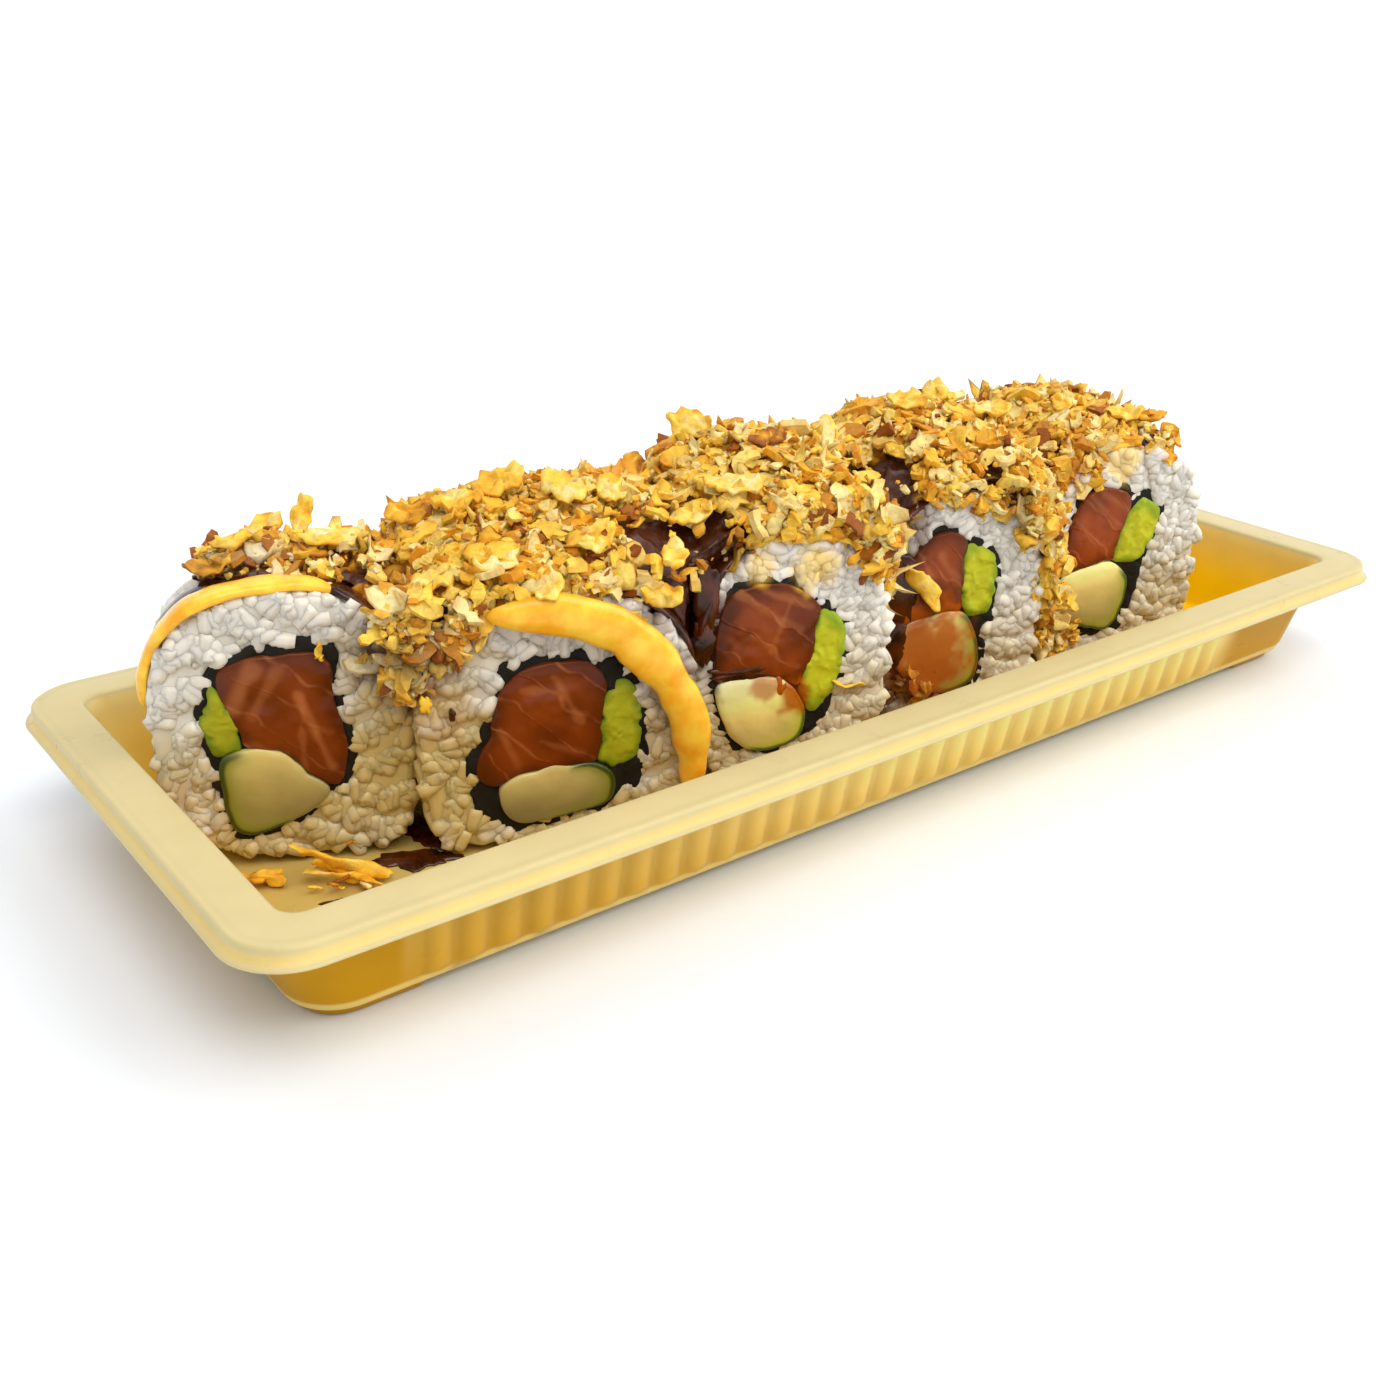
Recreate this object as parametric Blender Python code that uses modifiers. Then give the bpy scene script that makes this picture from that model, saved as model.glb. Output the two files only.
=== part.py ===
"""A takeaway sushi tray: five cut rolls in a moulded tray, under a heap of crispy fried onion.

Metres, +Z up. The tray's long side lies along X, the rolls' cut faces look towards -Y, and
Z = 0 is the plane that the tray's four feet stand on, with the tray's middle over the origin.
Each roll has a frame of its own: u runs along its cut face, t goes back from the face along
the roll, and w is the height above the tray's floor. Lists of sizes and points are in
millimetres, and each function turns them into metres as it builds.
"""
import math
from typing import NamedTuple

import bmesh
import bpy
import numpy as np
from mathutils import Matrix, Vector

# General
MM = 0.001
GAP = 0.3
SEED = 11

# Tray, with its sizes along X and Y taken at the rim's outer edge
TRAY_LENGTH = 220.0
TRAY_WIDTH = 84.7
TRAY_HEIGHT = 19.5
RIM_WIDTH = 6.8
RIM_CORNER = 8.0
RIM_EDGE = 0.5
SKIRT_DROP = 2.3
LIP_WIDTH = 1.0
OPENING_CORNER = 3.0
OPENING_EDGE = 0.7
FLOOR_TOP = 2.5
FLOOR_CORNER = 7.0
FLOOR_EDGE = 1.2
WALL_LEAN = 3.0
SHEET = 0.8
SIDE_BOW = 0.5
CORNER_STEPS = 4
LONG_SIDE_STEPS = 7
RIB_PITCH = 5.0
RIB_START = -84.0
RIB_COUNT = 32
RIB_FOOT_WIDTH = 3.6
RIB_DEPTH = 0.8
RIB_BOTTOM = 2.6
RIB_TOP = 15.5
FOOT_START = 84.0
FOOT_END = 99.6
FOOT_INNER = 20.0
FOOT_OUTER = 31.9
FOOT_CORNER = 6.0
FOOT_LEAN = 0.8

# Rice, nori and fillings
ANGLE_STEPS = 32
ROW_STEPS = 5
RICE_PIT = 1.1
RICE_EDGE = 1.2
NORI = 0.9
NORI_FRONT = 0.1
CURVE_STEPS = 2
CUTTER_REACH = 3.0
ROUND_TOP = 2.5

# Crispy onion
HEAP_COLUMNS = 6
HEAP_ROWS = 6
CHIP_COLUMNS = 5
CHIP_PITCH = 8.5
CHIP_SIDES = 6
SHOULDER_DIP = 0.12

COLOURS = {
    "tray": (0.62, 0.46, 0.13, 1.0),
    "rice": (0.72, 0.70, 0.64, 1.0),
    "nori": (0.01, 0.008, 0.006, 1.0),
    "salmon": (0.42, 0.07, 0.015, 1.0),
    "avocado": (0.42, 0.50, 0.05, 1.0),
    "cucumber": (0.50, 0.48, 0.16, 1.0),
    "mayonnaise": (0.85, 0.48, 0.04, 1.0),
    "onion": (0.72, 0.40, 0.06, 1.0),
}
ROUGHNESS = {"tray": 0.25, "nori": 0.45, "salmon": 0.3, "mayonnaise": 0.25}


class Roll(NamedTuple):
    """One cut roll: its place on the floor, its sizes and the outlines seen on its cut face."""
    place: tuple
    turn: float
    depth: float
    left: float
    right: float
    height: float
    flatness: tuple
    core: tuple
    salmon: tuple
    avocado: tuple
    cucumber: tuple
    heap_span: tuple
    heap_front: float
    heap_thickness: tuple


ROLLS = (
    Roll(place=(-84.0, 0.0), turn=24.0, depth=20.0, left=-20.4, right=14.4, height=39.4, flatness=(2.5, 5.0),
         core=((-12.8, 27.4), (-10.6, 31.0), (-3.2, 33.4), (4.6, 32.3), (4.9, 25.0), (6.3, 16.0),
               (3.4, 9.4), (-5.0, 4.9), (-11.6, 4.5), (-12.9, 14.2), (-14.4, 21.1)),
         salmon=((-10.6, 29.4), (-3.2, 31.0), (3.2, 30.6), (4.0, 25.9), (5.4, 15.5), (2.4, 10.8),
                 (-2.0, 13.0), (-8.8, 16.4), (-9.9, 23.5)),
         avocado=((-11.6, 28.8), (-10.0, 24.0), (-8.2, 17.2), (-11.6, 16.8), (-14.2, 20.6), (-12.8, 26.0)),
         cucumber=((-11.4, 17.0), (-4.0, 17.4), (-0.5, 13.4), (2.4, 11.0), (-2.2, 6.4), (-8.5, 4.9),
                   (-11.9, 8.5)),
         heap_span=(-12.0, 12.6), heap_front=5.0, heap_thickness=(0.4, 1.8, 3.4)),
    Roll(place=(-54.0, -16.0), turn=20.0, depth=34.0, left=-19.9, right=19.9, height=37.2, flatness=(5.0, 3.6),
         core=((-10.3, 21.7), (-8.2, 28.5), (2.0, 29.3), (10.0, 26.6), (12.5, 17.5), (12.0, 11.5),
               (8.8, 5.5), (-3.6, 3.2), (-10.8, 3.6), (-12.9, 9.0), (-13.4, 14.6)),
         salmon=((-9.2, 23.5), (-4.9, 27.4), (0.6, 28.0), (5.0, 26.8), (7.0, 21.9), (6.3, 11.6),
                 (-2.0, 10.6), (-9.4, 9.6), (-12.3, 13.6), (-9.8, 18.0)),
         avocado=((6.2, 22.4), (8.7, 24.5), (10.8, 21.3), (11.2, 15.0), (9.2, 11.8), (4.6, 10.8),
                  (5.6, 15.0)),
         cucumber=((-9.0, 10.3), (-4.0, 12.0), (5.6, 11.8), (7.4, 8.0), (4.8, 4.4), (-2.9, 3.6), (-7.8, 5.2)),
         heap_span=(-18.8, 19.4), heap_front=1.2, heap_thickness=(6.6, 9.0, 10.4)),
    Roll(place=(-19.3, -20.3), turn=20.0, depth=34.0, left=-12.4, right=19.0, height=39.6, flatness=(3.6, 3.6),
         core=((-10.4, 26.0), (-8.2, 32.6), (0.1, 34.4), (7.2, 30.6), (11.7, 26.0), (12.0, 21.0),
               (10.2, 14.0), (6.6, 8.0), (-1.5, 5.4), (-7.5, 8.4), (-10.6, 17.0)),
         salmon=((-9.6, 27.0), (-6.0, 33.0), (0.0, 33.6), (6.6, 30.6), (6.9, 27.1), (4.6, 18.0),
                 (0.0, 15.6), (-10.5, 16.4)),
         avocado=((6.6, 29.2), (9.9, 27.2), (11.5, 22.5), (10.5, 17.8), (8.4, 13.2), (5.2, 11.6),
                  (3.8, 16.1), (6.0, 22.0)),
         cucumber=((-10.0, 17.5), (-4.0, 18.8), (1.6, 17.6), (5.0, 12.2), (3.6, 7.6), (-1.2, 6.2),
                   (-6.4, 9.0)),
         heap_span=(-12.2, 18.6), heap_front=0.6, heap_thickness=(9.6, 9.8, 9.8)),
    Roll(place=(14.7, -20.3), turn=20.0, depth=34.0, left=-11.6, right=19.4, height=40.2, flatness=(3.6, 3.6),
         core=((-8.2, 24.0), (-5.6, 31.5), (0.0, 35.6), (6.0, 33.4), (10.8, 29.2), (10.8, 23.0),
               (9.6, 14.0), (8.2, 6.8), (0.0, 5.6), (-6.4, 9.0), (-8.6, 16.0)),
         salmon=((-7.0, 28.0), (-2.4, 34.0), (2.6, 34.8), (5.4, 32.0), (5.0, 20.0), (0.0, 18.0),
                 (-7.4, 18.0)),
         avocado=((4.2, 32.2), (8.6, 32.0), (10.0, 28.3), (9.6, 22.0), (7.4, 19.6), (4.4, 20.6), (4.0, 28.0)),
         cucumber=((-7.2, 18.5), (-1.2, 20.4), (4.5, 20.6), (7.6, 13.9), (6.8, 8.2), (0.0, 7.0),
                   (-6.3, 10.6)),
         heap_span=(-11.4, 21.0), heap_front=-0.2, heap_thickness=(9.4, 9.6, 8.4)),
    Roll(place=(57.7, -19.3), turn=18.0, depth=34.0, left=-12.2, right=20.2, height=41.0, flatness=(3.6, 3.6),
         core=((-9.4, 22.0), (-8.0, 31.0), (-3.0, 35.2), (4.5, 33.9), (10.2, 31.0), (11.4, 27.5),
               (8.6, 19.5), (7.4, 12.5), (5.0, 6.6), (-3.0, 6.6), (-9.2, 12.0)),
         salmon=((-8.6, 23.0), (-6.2, 32.3), (-2.0, 34.2), (2.8, 33.4), (4.4, 27.2), (2.2, 20.6),
                 (-4.0, 17.6), (-8.6, 17.6)),
         avocado=((7.6, 31.8), (10.8, 28.4), (9.0, 23.8), (7.4, 20.4), (2.0, 20.4), (2.6, 26.0), (4.6, 30.8)),
         cucumber=((-8.4, 18.4), (-2.0, 20.0), (1.2, 20.4), (5.0, 17.0), (4.2, 11.0), (2.0, 7.6),
                   (-4.8, 9.6), (-8.4, 12.4)),
         heap_span=(-14.2, 11.5), heap_front=1.6, heap_thickness=(6.0, 3.2, 2.2)),
)

# How far each filling stands out of the cut face, and the drizzles of spicy mayonnaise
FILLING_FRONT = {"salmon": 0.6, "avocado": 0.3, "cucumber": 0.8}
DRIZZLE_STEPS = 14
DRIZZLE_SIDES = 6
DRIZZLE_1_TURNS = (156.0, 72.0)
DRIZZLE_1_BACK = 3.2
DRIZZLE_1_WIDTH = 4.4
DRIZZLE_1_HEIGHT = 1.6
DRIZZLE_2_PATH = ((-7.0, 35.0), (2.0, 34.6), (9.0, 31.0), (14.7, 24.4), (18.2, 18.2), (18.5, 12.5),
                  (18.3, 7.0))
DRIZZLE_2_WIDTH = 6.0
DRIZZLE_2_HEIGHT = 2.2

# Where the heap reaches down below the rolls' shoulders, as a height above the floor
HEAP_UNDERSIDE = 30.0
HEAP_VALLEY = 25.0
HEAP_GAP_BOTTOM = 3.0

# Single pieces of onion that stand out of the heap: roll, u, t, length, width, yaw, tilt, lift
LANDMARKS = (
    ("chip", 1, 6.0, 7.0, 7.5, 6.0, 20.0, 24.0, 1.2),
    ("strip", 1, 1.0, 22.0, 9.0, 1.8, 100.0, -62.0, 2.6),
    ("chip", 1, 12.0, 4.0, 8.0, 6.5, 70.0, 30.0, 1.4),
    ("chip", 2, -6.0, 5.0, 10.0, 8.0, 10.0, 32.0, 1.6),
    ("chip", 2, -13.0, 10.0, 8.0, 6.5, 60.0, 18.0, 1.2),
    ("strip", 2, 10.0, 16.0, 13.0, 2.4, 12.0, 8.0, 1.8),
    ("chip", 3, -4.0, 22.0, 11.0, 8.0, 30.0, 12.0, 2.0),
    ("strip", 3, -5.5, 28.0, 11.0, 3.0, 40.0, -34.0, 0.6),
    ("chip", 4, -5.0, 16.0, 8.0, 7.0, 80.0, -40.0, 0.8),
    ("chip", 4, 1.0, 20.0, 8.0, 6.5, 40.0, -30.0, 0.6),
    ("chip", 4, 12.0, 12.0, 8.0, 6.0, 15.0, 20.0, 1.4),
    ("strip", 5, 9.0, 10.0, 13.0, 2.2, -8.0, 10.0, 2.2),
    ("strip", 5, 3.0, 6.0, 10.0, 2.2, 70.0, 24.0, 1.6),
)

# Pieces that fell on the floor: start and end of each strip, its width and its height
FALLEN = (
    ((-88.6, -2.8, 5.0), (-79.6, -11.0, 1.4), 2.6, 2.2),
    ((-94.4, 0.8, 1.0), (-91.4, -3.6, 1.0), 2.6, 1.8),
    ((2.6, -24.2, 4.0), (9.6, -23.2, 4.0), 3.6, 8.0),
    ((41.6, -22.6, 4.0), (50.0, -23.2, 4.0), 4.0, 8.0),
)


def clear_scene():
    """Removes every object that the scene already holds."""
    for thing in list(bpy.data.objects):
        bpy.data.objects.remove(thing, do_unlink=True)


def new_collection(name):
    """A collection under the scene's own."""
    group = bpy.data.collections.new(name)
    bpy.context.scene.collection.children.link(group)
    return group


def make_materials():
    """One Principled material for each kind of piece."""
    made = {}
    for name, colour in COLOURS.items():
        material = bpy.data.materials.new(name)
        material.use_nodes = True
        surface = material.node_tree.nodes["Principled BSDF"]
        surface.inputs["Base Color"].default_value = colour
        surface.inputs["Roughness"].default_value = ROUGHNESS.get(name, 0.5)
        made[name] = material
    return made


def add_object(name, mesh, group, material=None, parent=None):
    """Puts a mesh in the scene as a named object of a collection."""
    thing = bpy.data.objects.new(name, mesh)
    group.objects.link(thing)
    if material is not None:
        mesh.materials.append(material)
    if parent is not None:
        thing.parent = parent
    return thing


def as_cutter(thing):
    """Marks an object that only shapes others."""
    thing.hide_render = True
    thing.display_type = "WIRE"
    return thing


def mesh_from(build):
    """A mesh whose faces all look outward, from a bmesh."""
    bmesh.ops.recalc_face_normals(build, faces=build.faces)
    mesh = bpy.data.meshes.new("mesh")
    build.to_mesh(mesh)
    build.free()
    return mesh


def loft(rings, closed):
    """Joins rings of equal length by quads. A closed loft also joins the last ring to the first."""
    build = bmesh.new()
    rows = [[build.verts.new(Vector(point) * MM) for point in ring] for ring in rings]
    pairs = list(zip(rows, rows[1:]))
    if closed:
        pairs.append((rows[-1], rows[0]))
    for near, far in pairs:
        count = len(near)
        for step in range(count):
            after = (step + 1) % count
            build.faces.new((near[step], near[after], far[after], far[step]))
    return build, rows


def boolean(thing, cutter, operation):
    """Adds a Boolean modifier that keeps Blender's exact solver."""
    change = thing.modifiers.new(operation.lower(), "BOOLEAN")
    change.operation = operation
    change.solver = "EXACT"
    change.object = cutter


def apply_modifiers(thing):
    """Replaces an object's mesh by what its modifiers make of it."""
    bpy.context.view_layer.update()
    evaluated = thing.evaluated_get(bpy.context.evaluated_depsgraph_get())
    mesh = bpy.data.meshes.new_from_object(evaluated)
    thing.modifiers.clear()
    thing.data = mesh


# Tray

def rounded_ring(half_x, half_y, corner, height, bow):
    """A rounded rectangle at one height, whose long sides bow outward by a parabola."""
    outline = []
    for turn, sign_x, sign_y in ((0, 1, 1), (1, -1, 1), (2, -1, -1), (3, 1, -1)):
        for step in range(CORNER_STEPS + 1):
            angle = math.radians(90.0 * (turn + step / CORNER_STEPS))
            outline.append((sign_x * (half_x - corner) + corner * math.cos(angle),
                            sign_y * (half_y - corner) + corner * math.sin(angle)))
        if turn in (0, 2):
            start = sign_x * (half_x - corner)
            for step in range(1, LONG_SIDE_STEPS):
                outline.append((start * (1.0 - 2.0 * step / LONG_SIDE_STEPS), sign_y * half_y))
    ring = []
    for x, y in outline:
        side = max(0.0, 1.0 - (x / half_x) ** 2) * bow
        ring.append((x, y + math.copysign(side, y) * abs(y) / half_y, height))
    return ring


def wall_place(height):
    """How far the inner wall stands in from the rim's inner edge at a height."""
    return WALL_LEAN * (TRAY_HEIGHT - height) / (TRAY_HEIGHT - FLOOR_TOP)


def make_tray(group, material):
    """The moulded sheet: floor, leaning walls, flat rim, skirt and lip, with ribs and four feet."""
    outer_x = TRAY_LENGTH / 2.0
    outer_y = TRAY_WIDTH / 2.0
    inner_x = outer_x - RIM_WIDTH
    inner_y = outer_y - RIM_WIDTH
    edge_top = FLOOR_TOP + FLOOR_EDGE
    lip_height = TRAY_HEIGHT - SKIRT_DROP
    rings = [
        rounded_ring(inner_x - WALL_LEAN - FLOOR_EDGE, inner_y - WALL_LEAN - FLOOR_EDGE,
                     FLOOR_CORNER - FLOOR_EDGE, FLOOR_TOP, 0.0),
        rounded_ring(inner_x - wall_place(edge_top), inner_y - wall_place(edge_top),
                     FLOOR_CORNER, edge_top, 0.0),
        rounded_ring(inner_x - OPENING_EDGE, inner_y - OPENING_EDGE, OPENING_CORNER,
                     TRAY_HEIGHT - OPENING_EDGE, SIDE_BOW),
        rounded_ring(inner_x, inner_y, OPENING_CORNER, TRAY_HEIGHT, SIDE_BOW),
        rounded_ring(outer_x - RIM_EDGE, outer_y - RIM_EDGE, RIM_CORNER - RIM_EDGE, TRAY_HEIGHT, SIDE_BOW),
        rounded_ring(outer_x, outer_y, RIM_CORNER, TRAY_HEIGHT - RIM_EDGE, SIDE_BOW),
        rounded_ring(outer_x, outer_y, RIM_CORNER, lip_height, SIDE_BOW),
        rounded_ring(outer_x + LIP_WIDTH, outer_y + LIP_WIDTH, RIM_CORNER + LIP_WIDTH, lip_height, SIDE_BOW),
    ]
    build, rows = loft(rings, closed=False)
    floor = build.faces.new(rows[0])
    bmesh.ops.recalc_face_normals(build, faces=build.faces)
    floor.normal_update()
    if floor.normal.z < 0.0:
        bmesh.ops.reverse_faces(build, faces=build.faces)
    mesh = bpy.data.meshes.new("mesh")
    build.to_mesh(mesh)
    build.free()
    tray = add_object("tray", mesh, group, material)
    sheet = tray.modifiers.new("sheet", "SOLIDIFY")
    sheet.thickness = SHEET * MM
    sheet.offset = -1.0
    sheet.use_even_offset = True
    apply_modifiers(tray)
    extras = [make_ribs(inner_x, inner_y), make_feet()]
    for index, mesh in enumerate(extras):
        extra = add_object("tray_extra_%d" % index, mesh, group)
        boolean(tray, extra, "UNION")
        apply_modifiers(tray)
        bpy.data.objects.remove(extra)
    return tray


def block(build, bottom, top):
    """A closed block between two flat outlines that list their corners in the same order."""
    low = [build.verts.new(Vector(point) * MM) for point in bottom]
    high = [build.verts.new(Vector(point) * MM) for point in top]
    build.faces.new(low[::-1])
    build.faces.new(high)
    for step in range(len(low)):
        after = (step + 1) % len(low)
        build.faces.new((low[step], low[after], high[after], high[step]))


def make_ribs(inner_x, inner_y):
    """The upright ribs on the outside of both long walls, sunk into the sheet at their feet."""
    build = bmesh.new()
    for side in (1, -1):
        for number in range(RIB_COUNT):
            x = RIB_START + RIB_PITCH * number
            sections = []
            for height in (RIB_BOTTOM, RIB_TOP):
                bow = SIDE_BOW * (1.0 - (x / inner_x) ** 2) * (height - FLOOR_TOP) / (TRAY_HEIGHT - FLOOR_TOP)
                wall = inner_y - wall_place(height) + bow
                sections.append([(x + across, side * (wall + out), height) for across, out in (
                    (-RIB_FOOT_WIDTH / 2.0, SHEET / 2.0), (RIB_FOOT_WIDTH / 2.0, SHEET / 2.0),
                    (0.0, SHEET + RIB_DEPTH))])
            block(build, sections[0], sections[1])
    return mesh_from(build)


def make_feet():
    """The four feet that the corners of the floor are pressed down into."""
    build = bmesh.new()
    for side_x in (1, -1):
        for side_y in (1, -1):
            outlines = []
            for height, inset in ((0.0, FOOT_LEAN), (FLOOR_TOP - SHEET / 2.0, 0.0)):
                corner = FOOT_CORNER - inset
                outline = [(FOOT_START + inset, FOOT_OUTER - inset), (FOOT_START + inset, FOOT_INNER + inset),
                           (FOOT_END - inset, FOOT_INNER + inset)]
                for step in range(CORNER_STEPS + 1):
                    angle = math.radians(90.0 * step / CORNER_STEPS)
                    outline.append((FOOT_END - FOOT_CORNER + corner * math.cos(angle),
                                    FOOT_OUTER - FOOT_CORNER + corner * math.sin(angle)))
                outlines.append([(side_x * x, side_y * y, height) for x, y in outline])
            block(build, outlines[0], outlines[1])
    return mesh_from(build)


# Outlines on a cut face, in millimetres

def closed_curve(points, steps=CURVE_STEPS):
    """A smooth closed curve through the points: the Catmull-Rom cubic on each span."""
    points = np.array(points, float)
    turns = np.linspace(0.0, 1.0, steps, endpoint=False)[:, None]
    spans = []
    for index in range(len(points)):
        before, start, end, after = (points[(index + shift) % len(points)] for shift in (-1, 0, 1, 2))
        spans.append(0.5 * (2.0 * start + (end - before) * turns
                            + (2.0 * before - 5.0 * start + 4.0 * end - after) * turns ** 2
                            + (3.0 * start - before - 3.0 * end + after) * turns ** 3))
    curve = np.concatenate(spans)
    area = np.sum(curve[:, 0] * np.roll(curve[:, 1], -1) - np.roll(curve[:, 0], -1) * curve[:, 1])
    return curve if area > 0.0 else curve[::-1]


def grow(outline, distance):
    """Moves an outline that runs anticlockwise outward along its normals."""
    along = np.roll(outline, -1, axis=0) - np.roll(outline, 1, axis=0)
    along /= np.linalg.norm(along, axis=1)[:, None]
    return outline + distance * np.stack([along[:, 1], -along[:, 0]], axis=1)


def directions():
    """The unit vectors at which rice and core are both sampled."""
    angles = np.linspace(0.0, 2.0 * math.pi, ANGLE_STEPS, endpoint=False)
    return angles, np.stack([np.cos(angles), np.sin(angles)], axis=1)


def core_outline(roll):
    """The nori's outer edge, sampled at even angles round the core's middle."""
    pole = np.mean(roll.core, axis=0)
    curve = closed_curve(roll.core, 12) - pole
    angles, unit = directions()
    order = np.argsort(np.arctan2(curve[:, 1], curve[:, 0]))
    known = np.arctan2(curve[:, 1], curve[:, 0])[order]
    radius = np.interp(angles, known, np.linalg.norm(curve, axis=1)[order], period=2.0 * math.pi)
    return pole + unit * radius[:, None]


def rice_outline(roll):
    """The roll's outline, round on top and flatter below on each side, from a ray in each direction.

    It is where |u|^n + |w|^n = 1 in half sizes from the middle, found by halving along each ray.
    """
    pole = np.mean(roll.core, axis=0)
    middle = np.array([(roll.left + roll.right) / 2.0, roll.height / 2.0])
    half = np.array([(roll.right - roll.left) / 2.0, roll.height / 2.0])
    unit = directions()[1]
    low = np.zeros(ANGLE_STEPS)
    high = np.full(ANGLE_STEPS, 80.0)
    for _ in range(40):
        reach = (low + high) / 2.0
        spot = (pole + unit * reach[:, None] - middle) / half
        below = np.where(spot[:, 0] < 0.0, roll.flatness[0], roll.flatness[1])
        power = np.where(spot[:, 1] > 0.0, ROUND_TOP, below)
        inside = np.sum(np.abs(spot) ** power[:, None], axis=1) < 1.0
        low = np.where(inside, reach, low)
        high = np.where(inside, high, reach)
    return pole + unit * low[:, None]


def prism(name, outline, ends, group, parent, material=None):
    """An outline of the cut face drawn out along the roll between its two ends."""
    front, back = ends
    build = bmesh.new()
    corners = [build.verts.new(Vector((u, front, w)) * MM) for u, w in outline]
    face = build.faces.new(corners)
    swept = bmesh.ops.extrude_face_region(build, geom=[face])
    moved = [item for item in swept["geom"] if isinstance(item, bmesh.types.BMVert)]
    bmesh.ops.translate(build, verts=moved, vec=Vector((0.0, back - front, 0.0)) * MM)
    return add_object(name, mesh_from(build), group, material, parent)


# Rolls

def roll_frame(number, roll, group):
    """The empty that carries a roll: at its place on the floor, turned about the upright axis."""
    frame = bpy.data.objects.new("roll_%d_frame" % number, None)
    group.objects.link(frame)
    frame.location = Vector((roll.place[0], roll.place[1], FLOOR_TOP + GAP)) * MM
    frame.rotation_euler = (0.0, 0.0, -math.radians(roll.turn))
    return frame


def make_rice(number, roll, group, frame, material, rng):
    """The rice round the nori, with pits between grains on its sides and its cut face."""
    hole = grow(core_outline(roll), GAP)
    pole = np.mean(roll.core, axis=0)

    def ring(outline, back, pit_in, pit_back):
        inward = pole - outline
        inward /= np.linalg.norm(inward, axis=1)[:, None]
        pits = rng.uniform(0.0, 1.0, (2, ANGLE_STEPS))
        place = outline + inward * (pits[0] * pit_in)[:, None]
        depth = back + pits[1] * pit_back
        return [(u, t, w) for (u, w), t in zip(place, depth)]

    outer = rice_outline(roll)
    rings = [ring(hole, 0.4, 0.0, 0.0),
             ring((hole + outer) / 2.0, 0.0, 0.0, RICE_PIT),
             ring(grow(outer, -RICE_EDGE * 0.6), 0.2, 0.0, RICE_PIT * 0.6)]
    for step in range(ROW_STEPS + 1):
        back = RICE_EDGE + (roll.depth - 2.0 * RICE_EDGE) * step / ROW_STEPS
        rings.append(ring(outer, back, RICE_PIT, 0.0))
    rings.append(ring(grow(outer, -RICE_EDGE * 0.6), roll.depth, 0.0, 0.0))
    rings.append(ring(hole, roll.depth, 0.0, 0.0))
    build = loft(rings, closed=True)[0]
    bmesh.ops.triangulate(build, faces=build.faces)
    return add_object("rice_%d" % number, mesh_from(build), group, material, frame)


def make_roll(number, roll, group, cutters, materials, rng):
    """Rice, nori, salmon, avocado and cucumber, each drawn through the roll's whole depth."""
    frame = roll_frame(number, roll, group)
    make_rice(number, roll, group, frame, materials["rice"], rng)
    core = core_outline(roll)
    back = roll.depth - GAP
    ends = (-CUTTER_REACH, roll.depth + CUTTER_REACH)
    pocket = as_cutter(prism("pocket_%d" % number, grow(core, -NORI - GAP), ends, cutters, frame))
    nori_pocket = as_cutter(prism("nori_pocket_%d" % number, grow(core, -NORI), ends, cutters, frame))
    curves = {kind: closed_curve(getattr(roll, kind)) for kind in ("cucumber", "avocado", "salmon")}
    grown = {}
    for kind, curve in curves.items():
        inner_ends = (ends[0] + GAP, ends[1] - GAP)
        cutter = prism("around_%s_%d" % (kind, number), grow(curve, GAP), inner_ends, cutters, frame)
        grown[kind] = as_cutter(cutter)
        boolean(cutter, nori_pocket, "INTERSECT")
    before = []
    for kind, curve in curves.items():
        ends = (-FILLING_FRONT[kind], back)
        filling = prism("%s_%d" % (kind, number), curve, ends, group, frame, materials[kind])
        boolean(filling, pocket, "INTERSECT")
        for neighbour in before:
            boolean(filling, grown[neighbour], "DIFFERENCE")
        before.append(kind)
        apply_modifiers(filling)
        keep_largest(filling)
    nori = prism("nori_%d" % number, core, (NORI_FRONT, back), group, frame, materials["nori"])
    for cutter in grown.values():
        boolean(nori, cutter, "DIFFERENCE")
    apply_modifiers(nori)
    keep_largest(nori)
    return frame


def make_room(number, roll, cutters, frame):
    """The space that a roll takes up with its gap, for cutting what touches it."""
    front = -FILLING_FRONT["cucumber"] - GAP
    outline = grow(rice_outline(roll), GAP)
    return as_cutter(prism("room_%d" % number, outline, (front, roll.depth + GAP), cutters, frame))


def press_together(rice, room):
    """Flattens the rice where the next roll presses on it."""
    boolean(rice, room, "DIFFERENCE")
    apply_modifiers(rice)
    keep_largest(rice)


# Drizzles of spicy mayonnaise

def drizzle_mesh(middles, outward, across, width, height):
    """A strip with a flat base and a domed top that thins out at both ends."""
    count = len(middles)
    rings = []
    for index in range(count):
        share = index / (count - 1)
        swell = 0.5 + 0.5 * math.sin(math.pi * min(max(share, 0.04), 0.96)) ** 0.5
        ring = []
        for side in range(DRIZZLE_SIDES):
            angle = math.pi * side / (DRIZZLE_SIDES - 1)
            ring.append(Vector(middles[index])
                        + Vector(across[index]) * (width / 2.0 * swell * math.cos(angle))
                        + Vector(outward[index]) * (height * swell * math.sin(angle)))
        rings.append(ring)
    build, rows = loft(rings, closed=False)
    build.faces.new(rows[0])
    build.faces.new(rows[-1])
    return mesh_from(build)


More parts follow.
